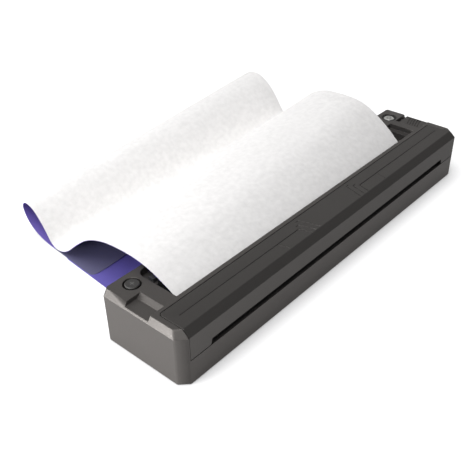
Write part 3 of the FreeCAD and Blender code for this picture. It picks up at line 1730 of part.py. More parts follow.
def stencil_sheet():
    left = -trough_end.value + given.sheet_inset.value
    right = left + given.path_width.value
    sides = sheet_sides(LEFT_EDGE_SHARES, given.left_arch_height, LEFT_TURNS, left)
    sides += sheet_sides(RIGHT_EDGE_SHARES, given.right_arch_height, RIGHT_TURNS, right)
    left_high, left_low, right_high, right_low = sides
    faces = flat_faces(left_high[0], right_high[0], right_low[0], left_low[0])
    faces += flat_faces(left_high[-1], left_low[-1], right_low[-1], right_high[-1])
    for i in range(len(left_high) - 1):
        j = i + 1
        faces += flat_faces(left_high[i], left_high[j], right_high[j], right_high[i])
        faces += flat_faces(left_low[i], right_low[i], right_low[j], left_low[j])
        faces += flat_faces(left_low[i], left_low[j], left_high[j], left_high[i])
        faces += flat_faces(right_high[i], right_high[j], right_low[j], right_low[i])
    solid = Part.makeSolid(Part.makeShell(faces))
    place("stencil_sheet", solid, zero, zero, zero)

    fore = back + given.carbon_front
    aft = fore + given.carbon_length
    drift = given.sheet_skew / given.sheet_reach.value
    low_left = -trough_end + given.cover_gap * 3 + drift * (fore.value - trough_front.value)
    top_left = low_left + drift * given.carbon_length.value
    body = new_body("carbon_sheet")
    drawing = new_sketch(body, "XY_Plane", given.carbon_gap)
    draw_polygon(
        drawing,
        [
            (low_left, fore),
            (low_left + given.path_width, fore),
            (top_left + given.path_width, aft),
            (top_left, aft),
        ],
    )
    pad(body, drawing, given.sheet_thickness)


stencil_sheet()

# Write the files
os.makedirs("parts", exist_ok=True)
doc.recompute()
for item in doc.Objects:
    if "Invalid" in item.State or "Error" in item.State:
        raise RuntimeError(f"{item.Name} failed: {item.State}")
for piece in parts:
    if piece.Shape.isNull() or not piece.Shape.isValid():
        raise RuntimeError(f"{piece.Label} has no valid shape")
for piece in parts:
    piece.Shape.exportStep(f"parts/{piece.Label}.step")
    extent = piece.Shape.BoundBox
    print(piece.Label, len(piece.Shape.Solids), round(piece.Shape.Volume), extent)
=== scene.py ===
"""Looks of a thermal stencil copier with a loaded sheet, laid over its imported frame."""

import json
import math

import bmesh
import bpy
from bpy.props import FloatProperty, FloatVectorProperty, IntProperty, PointerProperty
from bpy.types import Operator, Panel, PropertyGroup
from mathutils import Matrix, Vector
from mathutils.geometry import interpolate_bezier

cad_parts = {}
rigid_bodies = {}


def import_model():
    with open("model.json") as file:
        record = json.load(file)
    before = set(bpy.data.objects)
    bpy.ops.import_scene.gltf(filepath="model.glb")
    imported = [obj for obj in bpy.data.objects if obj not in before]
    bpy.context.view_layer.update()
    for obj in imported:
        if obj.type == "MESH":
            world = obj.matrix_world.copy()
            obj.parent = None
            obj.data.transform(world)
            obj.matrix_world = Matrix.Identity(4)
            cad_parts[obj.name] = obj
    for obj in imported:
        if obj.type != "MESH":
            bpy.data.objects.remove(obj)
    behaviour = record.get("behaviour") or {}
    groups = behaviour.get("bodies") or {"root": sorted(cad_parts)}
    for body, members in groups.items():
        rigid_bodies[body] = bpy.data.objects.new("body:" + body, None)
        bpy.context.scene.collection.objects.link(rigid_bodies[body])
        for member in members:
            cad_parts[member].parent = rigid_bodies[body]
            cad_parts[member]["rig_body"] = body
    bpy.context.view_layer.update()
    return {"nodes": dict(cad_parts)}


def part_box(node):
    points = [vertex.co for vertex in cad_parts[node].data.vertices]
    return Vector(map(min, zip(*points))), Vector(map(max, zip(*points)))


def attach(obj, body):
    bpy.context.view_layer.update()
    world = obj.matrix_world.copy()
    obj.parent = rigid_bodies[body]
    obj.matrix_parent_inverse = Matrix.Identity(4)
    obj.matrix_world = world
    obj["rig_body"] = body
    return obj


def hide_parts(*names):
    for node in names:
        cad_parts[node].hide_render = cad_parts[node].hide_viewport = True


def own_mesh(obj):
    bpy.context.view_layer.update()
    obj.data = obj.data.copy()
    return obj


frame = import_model()

bl_info = {
    "name": "Thermal stencil copier",
    "version": (1, 0, 0),
    "blender": (4, 5, 0),
    "location": "3D View > Sidebar > Copier",
    "description": "Finishes, paper and studio for a portable thermal stencil copier",
    "category": "Object",
}


# Sizes and colours that a user would change

def size_property(name, description, default, high=1.0):
    """A length in metres."""
    return FloatProperty(
        name=name, description=description, default=default, min=0.0, max=high, unit="LENGTH"
    )


def colour_property(name, description, default):
    """A linear colour."""
    return FloatVectorProperty(
        name=name, description=description, default=default, size=3, min=0.0, max=1.0,
        subtype="COLOR",
    )


class CopierSizes(PropertyGroup):
    """Lengths of the copier's finish and of its sheets"""

    edge_radius: size_property("Edge radius", "Rounding of the moulded edges", 0.00028)
    corner_radius: size_property("Corner radius", "Rounding of the front corners", 0.0009)
    small_edge_radius: size_property("Small edge radius", "Rounding of the buttons", 0.00018)
    rib_radius: size_property("Rib radius", "Rounding of the release and its ribs", 0.00006)
    sheet_thickness: size_property("Sheet thickness", "Stencil sheet", 0.00016)
    sheet_width: size_property("Sheet width", "Stencil sheet before it is loaded", 0.21)
    sheet_length: size_property("Sheet length", "Stencil sheet before it is loaded", 0.268)
    ripple: size_property("Ripple", "Height of the soft waves in the sheet", 0.0005)
    ply_length: size_property("Ply length", "Violet ply on the floor", 0.0775)
    floor_size: size_property("Floor size", "Side of the studio floor", 7.0, 20.0)
    columns: IntProperty(name="Columns", description="Faces across the sheet", default=12, min=4)
    seed: IntProperty(name="Seed", description="Choice of the sheet's waves", default=7)


class CopierColours(PropertyGroup):
    """Colours of the copier, its sheets and the floor"""

    housing: colour_property("Housing", "Graphite moulding", (0.110, 0.103, 0.098))
    # Painted shade: a darker copy of the housing's graphite, for the cover's darker top
    cover: colour_property("Cover", "Graphite moulding of the cover", (0.100, 0.095, 0.091))
    dark: colour_property("Dark", "Bottom plate, frame and guide", (0.022, 0.022, 0.022))
    silver: colour_property("Silver", "Round silver button", (0.46, 0.46, 0.44))
    paper: colour_property("Paper", "Upper side of the sheet", (0.90, 0.888, 0.878))
    violet: colour_property("Violet", "Coated side of the sheet", (0.17, 0.125, 0.46))
    # Painted shade: the slate that the coated side of the tail takes, for the arch's shadow over
    # it
    tail_shade: colour_property("Slate", "Coated side of the sheet's tail", (0.135, 0.132, 0.225))
    ply: colour_property("Ply", "Violet ply on the floor", (0.150, 0.125, 0.45))
    floor: colour_property("Floor", "Studio floor", (0.62, 0.62, 0.625))


def colours():
    return bpy.context.scene.copier_colours


def sizes():
    return bpy.context.scene.copier_sizes


# Node trees

class Value:
    """A number, colour or vector of a node tree, written in ordinary sums."""

    def __init__(self, tree, socket):
        self.tree = tree
        self.socket = socket

    def joined(self, operation, first, second=None):
        """One sum of the tree, which every operator below goes through."""
        return self.tree.add("ShaderNodeMath", {"operation": operation}, {0: first, 1: second})

    def __add__(self, other):
        return self.joined("ADD", self, other)

    def __sub__(self, other):
        return self.joined("SUBTRACT", self, other)

    def __rsub__(self, other):
        return self.joined("SUBTRACT", other, self)

    def __mul__(self, other):
        return self.joined("MULTIPLY", self, other)

    def __truediv__(self, other):
        return self.joined("DIVIDE", self, other)

    def __rtruediv__(self, other):
        return self.joined("DIVIDE", other, self)

    def __pow__(self, other):
        return self.joined("POWER", self, other)

    def __abs__(self):
        return self.joined("ABSOLUTE", self)

    def __lt__(self, other):
        return self.joined("LESS_THAN", self, other)

    def __gt__(self, other):
        return self.joined("GREATER_THAN", self, other)

    def larger(self, other):
        return self.joined("MAXIMUM", self, other)

    def smaller(self, other):
        return self.joined("MINIMUM", self, other)

    __radd__ = __add__
    __rmul__ = __mul__


class Tree:
    """A node tree that is being written."""

    def __init__(self, node_tree):
        self.tree = node_tree

    def node(self, kind, settings=None, values=None):
        """One node: its settings first, then the values or links of its sockets."""
        node = self.tree.nodes.new(kind)
        for key, setting in (settings or {}).items():
            setattr(node, key, setting)
        for key, value in (values or {}).items():
            links = value if isinstance(value, list) else [value]
            if isinstance(links[0], Value):
                for link in links:
                    self.tree.links.new(link.socket, node.inputs[key])
            elif value is not None:
                node.inputs[key].default_value = value
        return node

    def add(self, kind, settings=None, values=None, output=0):
        """One node, as the value that leaves one of its outputs."""
        node = self.node(kind, settings, values)
        return Value(self, node.outputs[output]) if len(node.outputs) else None

    def mixed(self, share, first, second):
        """A colour between two, by a share from 0 to 1."""
        first, second = (c if isinstance(c, Value) else (*c, 1.0) for c in (first, second))
        return self.add(
            "ShaderNodeMix", {"data_type": "RGBA", "clamp_factor": True},
            {0: share, 6: first, 7: second}, output=2,
        )


def scaled(colour, share):
    """A colour made darker or lighter by that share."""
    return tuple(min(1.0, part * share) for part in colour)


class Finish(Tree):
    """A material whose pattern follows the object's own coordinates, in metres."""

    def __init__(self, name):
        self.material = bpy.data.materials.new(name)
        self.material.use_nodes = True
        super().__init__(self.material.node_tree)
        self.tree.nodes.clear()
        self.place = self.add("ShaderNodeTexCoord", output="Object")

    def axis(self, letter):
        """One of the object's own coordinates, in metres."""
        return self.add("ShaderNodeSeparateXYZ", {}, {0: self.place}, output="XYZ".index(letter))

    def noise(self, scale, detail=2.0, stretch=(1.0, 1.0, 1.0)):
        """Noise from 0 to 1; a stretch below 1 draws it out along that axis."""
        where = self.add("ShaderNodeMapping", {}, {"Vector": self.place, "Scale": stretch})
        return self.add(
            "ShaderNodeTexNoise", {}, {"Vector": where, "Scale": scale, "Detail": detail}
        )

    def relief(self, height, depth):
        """A bump of that depth in metres."""
        return self.add("ShaderNodeBump", {}, {"Height": height, "Distance": depth})

    def done(self, **sockets):
        """Ends the material in a Principled surface."""
        values = {key.replace("_", " "): value for key, value in sockets.items()}
        shader = self.add("ShaderNodeBsdfPrincipled", {}, values)
        self.add("ShaderNodeOutputMaterial", {}, {"Surface": shader})
        return self.material


# Finishes. Noise scales are in waves per metre, and reliefs in metres

HEATER_HALF_WIDTH = 0.0007
CROSS_HALF_WIDTH, CROSS_HALF_LENGTH = 0.00020, 0.0013
RING_INNER, RING_OUTER = 0.0011, 0.0017
TURNED_WAVE = 42000.0  # radians per metre, for the fine circles of the silver button
TAIL_TOP, TAIL_REAR = 0.0016, 0.113  # the sheet's tail lies below and in front of these, and there its coat gets a painted shade
BAND_OUT, BAND_HALF_WIDTH = 0.0330, 0.006  # one pale band round each cell
MOTTLE_CONTRAST = 2.4


def graphite(name, colour, metal=0.45):
    """Moulded plastic with fine metal flakes in its lacquer."""
    f = Finish(name)
    flakes, cloud = f.noise(5200.0, 1.0), f.noise(38.0, 3.0)
    fine = f.noise(2600.0, 2.0)
    shade = f.mixed(flakes, scaled(colour, 0.80), scaled(colour, 1.22))
    shade = f.mixed(cloud * 0.35, shade, scaled(colour, 0.86))
    return f.done(
        Base_Color=shade, Metallic=metal, Specular_IOR_Level=0.1,
        Specular_Tint=(0.4, 0.4, 0.4, 1.0),
        Roughness=0.30 + cloud * 0.08 + flakes * 0.06, Normal=f.relief(fine, 0.000012),
    )


def moulded(name, colour, rough=0.5):
    """Plain moulded plastic with a fine spark-eroded grain."""
    f = Finish(name)
    cloud, fine = f.noise(60.0, 2.0), f.noise(2200.0, 3.0)
    return f.done(
        Base_Color=f.mixed(cloud, scaled(colour, 0.85), scaled(colour, 1.18)),
        Roughness=rough + fine * 0.12, Normal=f.relief(fine, 0.00002),
    )


def drawn_metal(name, colour, rough):
    """Ground or extruded metal with fine lines along the machine."""
    f = Finish(name)
    lines, cloud = f.noise(3200.0, 3.0, (0.04, 1.0, 1.0)), f.noise(70.0, 2.0)
    shade = f.mixed(lines, scaled(colour, 0.88), scaled(colour, 1.08))
    return f.done(
        Base_Color=f.mixed(cloud * 0.3, shade, scaled(colour, 0.8)), Metallic=1.0,
        Roughness=rough + lines * 0.12, Normal=f.relief(lines, 0.000004),
    )


def zinc_plate(name):
    """Pressed steel with the faint patches of zinc plating."""
    f = Finish(name)
    patches = f.add(
        "ShaderNodeTexVoronoi", {}, {"Vector": f.place, "Scale": 420.0}, output="Color"
    )
    cloud = f.noise(300.0, 3.0)
    spread = f.add("ShaderNodeSeparateColor", {}, {0: patches})
    return f.done(
        Base_Color=f.mixed(spread, (0.50, 0.51, 0.53), (0.64, 0.65, 0.67)), Metallic=1.0,
        Roughness=0.26 + cloud * 0.18, Normal=f.relief(cloud, 0.000003),
    )


def ground_rubber(name, colour):
    """Dull rubber, ground in fine rings round its length."""
    f = Finish(name)
    fine, rings = f.noise(3600.0, 2.0), f.noise(900.0, 2.0, (4.0, 0.05, 0.05))
    return f.done(
        Base_Color=f.mixed(fine, scaled(colour, 0.8), scaled(colour, 1.25)),
        Roughness=0.72 + rings * 0.14, Normal=f.relief(fine + rings, 0.00001),
    )


def heater_ceramic(name):
    """Pale glazed ceramic with the brown line of the heaters."""
    f = Finish(name)
    cloud = f.noise(90.0, 2.0)
    low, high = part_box("head_ceramic")
    line = abs(f.axis("Y") - (low.y + high.y) / 2) < HEATER_HALF_WIDTH
    base = f.mixed(cloud, (0.80, 0.79, 0.75), (0.88, 0.87, 0.83))
    return f.done(
        Base_Color=f.mixed(line, base, (0.16, 0.07, 0.03)), Roughness=0.22 + cloud * 0.08
    )


def circuit_board(name):
    """Green solder resist over fine copper tracks."""
    f = Finish(name)
    tracks = f.add(
        "ShaderNodeTexBrick", {"offset": 0.5},
        {"Vector": f.place, "Color1": (0.02, 0.10, 0.045, 1), "Color2": (0.03, 0.15, 0.07, 1),
         "Mortar": (0.07, 0.24, 0.10, 1), "Scale": 160.0, "Mortar Size": 0.03,
         "Row Height": 0.18},
    )
    height = f.add("ShaderNodeSeparateColor", {}, {0: tracks}, output=1)
    return f.done(Base_Color=tracks, Roughness=0.32, Normal=f.relief(height, 0.00003))


def from_middle(f, node):
    """How far to the right of a round node's middle axis, and how far behind it."""
    low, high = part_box(node)
    middle = (low + high) / 2
    return f.axis("X") - middle.x, f.axis("Y") - middle.y


def dark_button(name):
    """Satin black button with a small pale cross let into its middle."""
    f = Finish(name)
    across, deep = (abs(part) for part in from_middle(f, "feed_button"))
    upright = (across < CROSS_HALF_WIDTH) * (deep < CROSS_HALF_LENGTH)
    arm = (deep < CROSS_HALF_WIDTH) * (across < CROSS_HALF_LENGTH)
    fine, cloud = f.noise(2800.0, 2.0), f.noise(150.0, 2.0)
    shade = f.mixed(cloud, (0.030, 0.029, 0.028), (0.048, 0.046, 0.044))
    return f.done(
        Base_Color=f.mixed(upright.larger(arm), shade, (0.13, 0.13, 0.125)),
        Roughness=0.42 + fine * 0.1, Normal=f.relief(fine, 0.00001),
    )


def silver_button(name, colour):
    """Silver button turned in fine circles, with a darker ring round its middle."""
    f = Finish(name)
    across, deep = from_middle(f, "power_button")
    radius = (across * across + deep * deep) ** 0.5
    wave = f.add("ShaderNodeMath", {"operation": "SINE"}, {0: radius * TURNED_WAVE})
    ring = (radius > RING_INNER) * (radius < RING_OUTER)
    fine = f.noise(2400.0, 2.0)
    shade = f.mixed(fine, scaled(colour, 0.86), scaled(colour, 1.12))
    return f.done(
        Base_Color=f.mixed(ring, shade, scaled(colour, 0.32)), Metallic=0.7,
        Roughness=0.34 + fine * 0.1, Normal=f.relief(wave, 0.000003),
    )


def stencil_paper(name, colour):
    """Thin fibrous paper, faintly mottled."""
    f = Finish(name)
    cloud, blots = f.noise(30.0, 4.0), f.noise(330.0, 5.0)
    fibres = f.noise(2300.0, 4.0, (0.25, 1.0, 1.0))
    mottle = (blots - 0.5) * MOTTLE_CONTRAST + 0.5
    shade = f.mixed(mottle, scaled(colour, 0.925), scaled(colour, 1.055))
    shade = f.mixed(cloud * 0.35, shade, scaled(colour, 0.955))
    return f.done(
        Base_Color=shade, Roughness=0.62 + fibres * 0.2, Sheen_Weight=0.05,
        Normal=f.relief(fibres + blots * 2.0, 0.00003),
    )


def violet_coat(name, colour, tail=None):
    """Waxy violet coating; on the tail on the floor it is darkened to slate, a painted shade for
    the arch's shadow over it.
    """
    f = Finish(name)
    cloud, fine = f.noise(55.0, 4.0), f.noise(1800.0, 3.0)
    shade = f.mixed(cloud, scaled(colour, 0.82), scaled(colour, 1.2))
    if tail is not None:
        # Painted shade: low and in front, the tail is darkened to slate as if in the arch's
        # shadow
        low = (f.axis("Z") < TAIL_TOP) * (f.axis("Y") < TAIL_REAR)
        shade = f.mixed(low, shade, f.mixed(cloud, scaled(tail, 0.85), scaled(tail, 1.15)))
    return f.done(
        Base_Color=shade, Roughness=0.42 + cloud * 0.16, Normal=f.relief(fine, 0.00002)
    )


def sleeve(name):
    """Shrink sleeve round the cells, with a pale band."""
    f = Finish(name)
    cloud, fine = f.noise(120.0, 2.0), f.noise(900.0, 2.0)
    low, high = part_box("battery_cells")
    band = abs(abs(f.axis("X") - (low.x + high.x) / 2) - BAND_OUT) < BAND_HALF_WIDTH
    base = f.mixed(cloud, (0.03, 0.15, 0.22), (0.05, 0.21, 0.29))
    return f.done(
        Base_Color=f.mixed(band, base, (0.5, 0.52, 0.52)), Roughness=0.3 + fine * 0.1,
        Coat_Weight=0.3,
    )


def dress(material, *nodes):
    """Gives carried-over CAD nodes their finish."""
    for node in nodes:
        thing = frame["nodes"][node]
        for place in thing.material_slots:
            place.material = material


# Pieces

MERGE_DISTANCE = 1e-6
# Faces within the first angle of each other become one, and edges over the second are rounded
FLAT_WITHIN, TURNED_FROM = math.radians(0.4), math.radians(32)
NEARLY_STRAIGHT = 0.87  # cosine between two edges that carry on from each other
ROOM_BESIDE, ROOM_AT_END = 3, 2.2  # in radii of a rounding
RADIUS_SHARES = (1.0, 0.6, 0.35, 0.0)  # tried in this order
# An edge of a corner flat rises by more than the first, lies in front of the second and
# further out than the third
FLAT_RISE, FLAT_FRONT, FLAT_SIDE = 0.003, -0.021, 0.1285


def placed(name, data):
    """A new object in the scene."""
    thing = bpy.data.objects.new(name, data)
    bpy.context.scene.collection.objects.link(thing)
    return thing


def settled(thing, name, body):
    """Turns an evaluated object into a plain mesh piece that rides on a body."""
    bpy.context.view_layer.update()
    graph = bpy.context.evaluated_depsgraph_get()
    mesh = bpy.data.meshes.new_from_object(thing.evaluated_get(graph), depsgraph=graph)
    mesh.name = name
    bpy.data.objects.remove(thing)
    piece = placed(name, mesh)
    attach(piece, body)
    return piece


def run_of(edge):
    """From an edge's first corner to its second."""
    return edge.verts[1].co - edge.verts[0].co


def carries_on(edge, other):
    """Whether two edges that meet run on in nearly one line."""
    return abs(run_of(edge).normalized().dot(run_of(other).normalized())) > NEARLY_STRAIGHT


def has_room(edge, radius):
    """Whether both faces beside an edge are wide enough to be rounded into it."""
    length = edge.calc_length()
    if min(face.calc_area() / length for face in edge.link_faces) < radius * ROOM_BESIDE:
        return False
    for corner in edge.verts:
        for other in corner.link_edges:
            if other.calc_length() < radius * ROOM_AT_END and not carries_on(edge, other):
                return False
    return True


def edge_runs(edges):
    """Edges in groups that each run on in a line."""
    left, runs = set(edges), []
    while left:
        run, ends = [], [left.pop()]
        while ends:
            edge = ends.pop()
            run.append(edge)
            for corner in edge.verts:
                for other in corner.link_edges:
                    if other in left and carries_on(edge, other):
                        left.remove(other)
                        ends.append(other)
        runs.append(run)
    return runs


def rounded(node, radius, material, wide_radius=None, is_wide=None):
    """A moulding with the node's own shape and softly rounded edges."""
    source = frame["nodes"][node]
    largest = wide_radius or radius
    mesh = source.data.copy()
    work = bmesh.new()
    work.from_mesh(mesh)
    bmesh.ops.remove_doubles(work, verts=work.verts, dist=MERGE_DISTANCE)
    bmesh.ops.dissolve_limit(
        work, angle_limit=FLAT_WITHIN, verts=work.verts, edges=work.edges
    )
    weight = work.edges.layers.float.new("bevel_weight_edge")
    for face in work.faces:
        face.smooth = True
    turned = [
        edge for edge in work.edges
        if edge.is_manifold and edge.calc_face_angle() > TURNED_FROM
    ]
    # A whole run takes one radius, the largest that fits all along it, or else stays sharp
    for run in edge_runs(turned):
        wide = is_wide and all(is_wide(edge) for edge in run)
        for share in RADIUS_SHARES:
            wanted = (wide_radius if wide else radius) * share
            if all(has_room(edge, wanted) for edge in run):
                break
        for edge in run:
            edge[weight] = wanted / largest
            edge.smooth = wanted > 0
    work.to_mesh(mesh)
    work.free()
    mesh.materials.clear()
    mesh.materials.append(material)
    thing = placed(node + "_work", mesh)
    bevel = thing.modifiers.new("Rounding", "BEVEL")
    bevel.width = largest
    bevel.segments = 3
    bevel.limit_method = "WEIGHT"
    bevel.use_clamp_overlap = False
    # The large flat faces keep their own direction, and the roundings blend between them
    flat = thing.modifiers.new("Flat faces", "WEIGHTED_NORMAL")
    flat.mode = "FACE_AREA"
    flat.weight = 50
    flat.keep_sharp = True
    piece = settled(thing, node + "_moulding", source["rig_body"])
    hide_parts(node)
    return piece


def sprung(node, material):
    """A spring with the node's own shape, in steel, riding on the node's body."""
    source = frame["nodes"][node]
    mesh = source.data.copy()
    mesh.materials.clear()
    mesh.materials.append(material)
    piece = placed(node + "_steel", mesh)
    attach(piece, source["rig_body"])
    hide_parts(node)
    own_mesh(piece)


def corner_flat(edge):
    """Whether an edge runs up the flat across a front corner of the case."""
    middle = (edge.verts[0].co + edge.verts[1].co) / 2
    upright = abs(run_of(edge).z) > FLAT_RISE
    return upright and middle.y < FLAT_FRONT and abs(middle.x) > FLAT_SIDE


# The sheet's two edges run up from the nip, through the inlet, over the arch to the end of
# the tail: shares of its reach behind the trough, and of the crest's height on that edge
TROUGH_FRONT, REACH, SKEW, LEFT_START = -0.0034, 0.148, 0.0113, -0.1130
INLET = ((-0.01492, 0.02389), (-0.01377, 0.02441), (-0.01005, 0.02606), (-0.00606, 0.02784))
LEFT_CREST, RIGHT_CREST = 0.0373, 0.0507
LEFT_EDGE = (
    (0.010, 0.800), (0.044, 0.862),
    (0.079, 0.905), (0.130, 0.965), (0.183, 0.995), (0.239, 1.000), (0.296, 0.984),
    (0.357, 0.952), (0.407, 0.912), (0.449, 0.852), (0.492, 0.777), (0.538, 0.675),
    (0.612, 0.434), (0.672, 0.215), (0.720, 0.085), (0.760, 0.036), (0.793, 0.038),
    (0.822, 0.115), (0.846, 0.262), (0.880, 0.420), (0.926, 0.560), (0.968, 0.582),
    (0.994, 0.530), (1.003, 0.430), (0.987, 0.260), (0.945, 0.120), (0.890, 0.045),
    (0.830, 0.018), (0.760, 0.0174), (0.680, 0.0174), (0.600, 0.0174), (0.521, 0.0174),
)
RIGHT_EDGE = (
    (0.008, 0.615), (0.048, 0.715),
    (0.082, 0.785), (0.123, 0.860), (0.182, 0.949), (0.241, 0.995), (0.317, 1.000),
    (0.407, 0.978), (0.467, 0.933), (0.528, 0.830), (0.586, 0.672), (0.627, 0.505),
    (0.658, 0.398), (0.684, 0.368), (0.709, 0.410), (0.741, 0.540), (0.797, 0.722),
    (0.856, 0.830), (0.906, 0.852), (0.955, 0.812), (0.992, 0.710), (1.009, 0.562),
    (0.999, 0.395), (0.968, 0.247), (0.921, 0.128), (0.868, 0.055), (0.814, 0.022),
    (0.760, 0.0130), (0.700, 0.0128), (0.630, 0.0128),
)
# The same turns of the sheet on both edges, as places in those rows after the inlet's, and
# how many rows of faces lie from one turn to the next
LEFT_TURNS = (0, 9, 19, 25, 27, 32, 35)
RIGHT_TURNS = (0, 10, 17, 22, 25, 31, 33)
ROWS_BETWEEN = (12, 14, 12, 8, 12, 6)
FINE = 12  # steps from one place to the next while the rows are spaced
PLY_ROWS = 9
WAVES_FROM, WAVES_GROW = 0.010, 0.05  # behind the machine's middle, in metres
LYING, FREE = 0.0015, 0.012  # height at which the waves start, and over which they grow
WAVE_SCALE, WAVE_DETAIL, WAVE_STRETCH = 24.0, 1.5, (0.55, 1.0, 1.0)
CREASE_FROM = math.radians(60)


def edge_places(shares, crest, turns, start_x):
    """Places along one edge, evenly spaced from each turn of the sheet to the next."""
    knots = [Vector(place) for place in INLET]
    knots += [Vector((TROUGH_FRONT + REACH * y, crest * z)) for y, z in shares]
    slopes = []
    for n in range(len(knots)):
        before, after = knots[max(0, n - 1)], knots[min(len(knots) - 1, n + 1)]
        slopes.append((after - before).normalized())
    places = []
    for first, last, rows in zip(turns, turns[1:], ROWS_BETWEEN):
        line = []
        for n in range(first, last):
            reach = (knots[n + 1] - knots[n]).length / 3
            handles = (knots[n] + slopes[n] * reach, knots[n + 1] - slopes[n + 1] * reach)
            line += interpolate_bezier(knots[n], *handles, knots[n + 1], FINE)[:-1]
        line.append(knots[last])
        lengths = [0.0]
        for one, other in zip(line, line[1:]):
            lengths.append(lengths[-1] + (other - one).length)
        spot = 0
        for row in range(rows):
            want = lengths[-1] * row / rows
            while lengths[spot + 1] < want:
                spot += 1
            span = (want - lengths[spot]) / (lengths[spot + 1] - lengths[spot])
            places.append(line[spot].lerp(line[spot + 1], span))
    places.append(knots[turns[-1]])
    drift = SKEW / REACH
    return [Vector((start_x + drift * (p.x - TROUGH_FRONT), p.x, p.y)) for p in places]


def point_line(name, places):
    """An object with a row of points."""
    mesh = bpy.data.meshes.new(name)
    mesh.from_pydata([tuple(p) for p in places], [], [])
    return placed(name, mesh)


def interface(group, rows):
    """Declares a geometry tree's named inputs and its one output; returns their identifiers."""
    found = {}
    for name, kind in rows:
        socket = group.interface.new_socket(name, in_out="INPUT", socket_type=kind)
        found[name] = socket.identifier
    group.interface.new_socket("Sheet", in_out="OUTPUT", socket_type="NodeSocketGeometry")
    return found


def sheet_tree():
    """A sheet spanned between two edges, with soft waves, an upper and a coated side."""
    group = bpy.data.node_groups.new("Sheet between two edges", "GeometryNodeTree")
    names = interface(group, (
        ("Left edge", "NodeSocketObject"), ("Right edge", "NodeSocketObject"),
        ("Rows", "NodeSocketInt"), ("Columns", "NodeSocketInt"),
        ("Thickness", "NodeSocketFloat"), ("Ripple", "NodeSocketFloat"),
        ("Seed", "NodeSocketInt"), ("Upper side", "NodeSocketMaterial"),
        ("Coated side", "NodeSocketMaterial"),
    ))
    t = Tree(group)
    source = t.node("NodeGroupInput")
    given = {name: Value(t, source.outputs[name]) for name in names}
    grid = t.add(
        "GeometryNodeMeshGrid", {},
        {"Size X": 1.0, "Size Y": 1.0, "Vertices X": given["Columns"],
         "Vertices Y": given["Rows"]},
    )
    position = t.add("GeometryNodeInputPosition")
    across, along = (
        t.add("ShaderNodeSeparateXYZ", {}, {0: position}, output=n) + 0.5 for n in (0, 1)
    )
    row = t.add(
        "ShaderNodeMath", {"operation": "ROUND"}, {0: along * (given["Rows"] - 1.0)}
    )
    edges = []
    for side in ("Left edge", "Right edge"):
        points = t.add(
            "GeometryNodeObjectInfo", {"transform_space": "RELATIVE"}, {"Object": given[side]},
            output="Geometry",
        )
        edges.append(t.add(
            "GeometryNodeSampleIndex", {"data_type": "FLOAT_VECTOR", "domain": "POINT"},
            {"Geometry": points, "Value": t.add("GeometryNodeInputPosition"), "Index": row},
        ))
    spanned = t.add(
        "ShaderNodeMix", {"data_type": "VECTOR"}, {0: across, 4: edges[0], 5: edges[1]}, output=1
    )
    surface = t.add("GeometryNodeSetPosition", {}, {"Geometry": grid, "Position": spanned})
    surface = t.add("GeometryNodeSubdivisionSurface", {}, {"Mesh": surface, "Level": 2})

    # Waves grow away from the machine and fade out where the sheet lies on the floor
    behind, height = (
        t.add("ShaderNodeSeparateXYZ", {}, {0: position}, output=n) for n in (1, 2)
    )
    free = ((behind - WAVES_FROM) / WAVES_GROW).larger(0.0).smaller(1.0)
    free = free * ((height - LYING) / FREE).larger(0.0).smaller(1.0)
    shift = t.add("ShaderNodeCombineXYZ", {}, {0: given["Seed"]})
    shifted = t.add(
        "ShaderNodeVectorMath", {"operation": "MULTIPLY_ADD"},
        {0: position, 1: WAVE_STRETCH, 2: shift},
    )
    wave = t.add(
        "ShaderNodeTexNoise", {}, {"Vector": shifted, "Scale": WAVE_SCALE, "Detail": WAVE_DETAIL}
    ) - 0.5
    lift = t.add(
        "ShaderNodeVectorMath", {"operation": "SCALE"},
        {0: t.add("GeometryNodeInputNormal"), "Scale": wave * free * given["Ripple"] * 2.0},
    )
    surface = t.add("GeometryNodeSetPosition", {}, {"Geometry": surface, "Offset": lift})

    # Give it its thickness, and close it with the coated side
    body = t.node(
        "GeometryNodeExtrudeMesh", {},
        {"Individual": False, "Mesh": surface, "Offset Scale": given["Thickness"]},
    )
    marked = t.add(
        "GeometryNodeStoreNamedAttribute", {"data_type": "BOOLEAN", "domain": "FACE"},
        {"Geometry": Value(t, body.outputs["Mesh"]), "Name": "upper",
         "Value": Value(t, body.outputs["Top"])},
    )
    under = t.add("GeometryNodeFlipFaces", {}, {"Mesh": surface})
    joined = t.add("GeometryNodeJoinGeometry", {}, {0: [under, marked]})
    closed = t.add(
        "GeometryNodeMergeByDistance", {}, {"Geometry": joined, "Distance": MERGE_DISTANCE}
    )
    whole = t.add("GeometryNodeRealizeInstances", {}, {"Geometry": closed})
    whole = t.add(
        "GeometryNodeSetMaterial", {}, {"Geometry": whole, "Material": given["Coated side"]}
    )
    upper = t.add("GeometryNodeInputNamedAttribute", {"data_type": "BOOLEAN"}, {"Name": "upper"})
    whole = t.add(
        "GeometryNodeSetMaterial", {},
        {"Geometry": whole, "Selection": upper, "Material": given["Upper side"]},
    )
    t.add("NodeGroupOutput", {}, {0: whole})
    return group, names


def spanned_sheet(name, body, slot, left, right, upper, coated, ripple):
    """A sheet piece between two rows of places, made by the geometry tree."""
    group, names = sheet_tree()
    edges = [point_line(f"{name}_edge_{n}", places) for n, places in enumerate((left, right))]
    thing = point_line(name + "_work", [])
    modifier = thing.modifiers.new("Sheet", "NODES")
    modifier.node_group = group
    s = sizes()
    values = {
        "Left edge": edges[0], "Right edge": edges[1], "Rows": len(left),
        "Columns": s.columns, "Thickness": s.sheet_thickness, "Ripple": ripple, "Seed": s.seed,
        "Upper side": upper, "Coated side": coated,
    }
    for label, value in values.items():
        modifier[names[label]] = value
    piece = settled(thing, name, body)
    piece.data.shade_smooth()
    piece.data.set_sharp_from_angle(angle=CREASE_FROM)
    for edge in edges:
        bpy.data.objects.remove(edge)
    return piece


# Operators

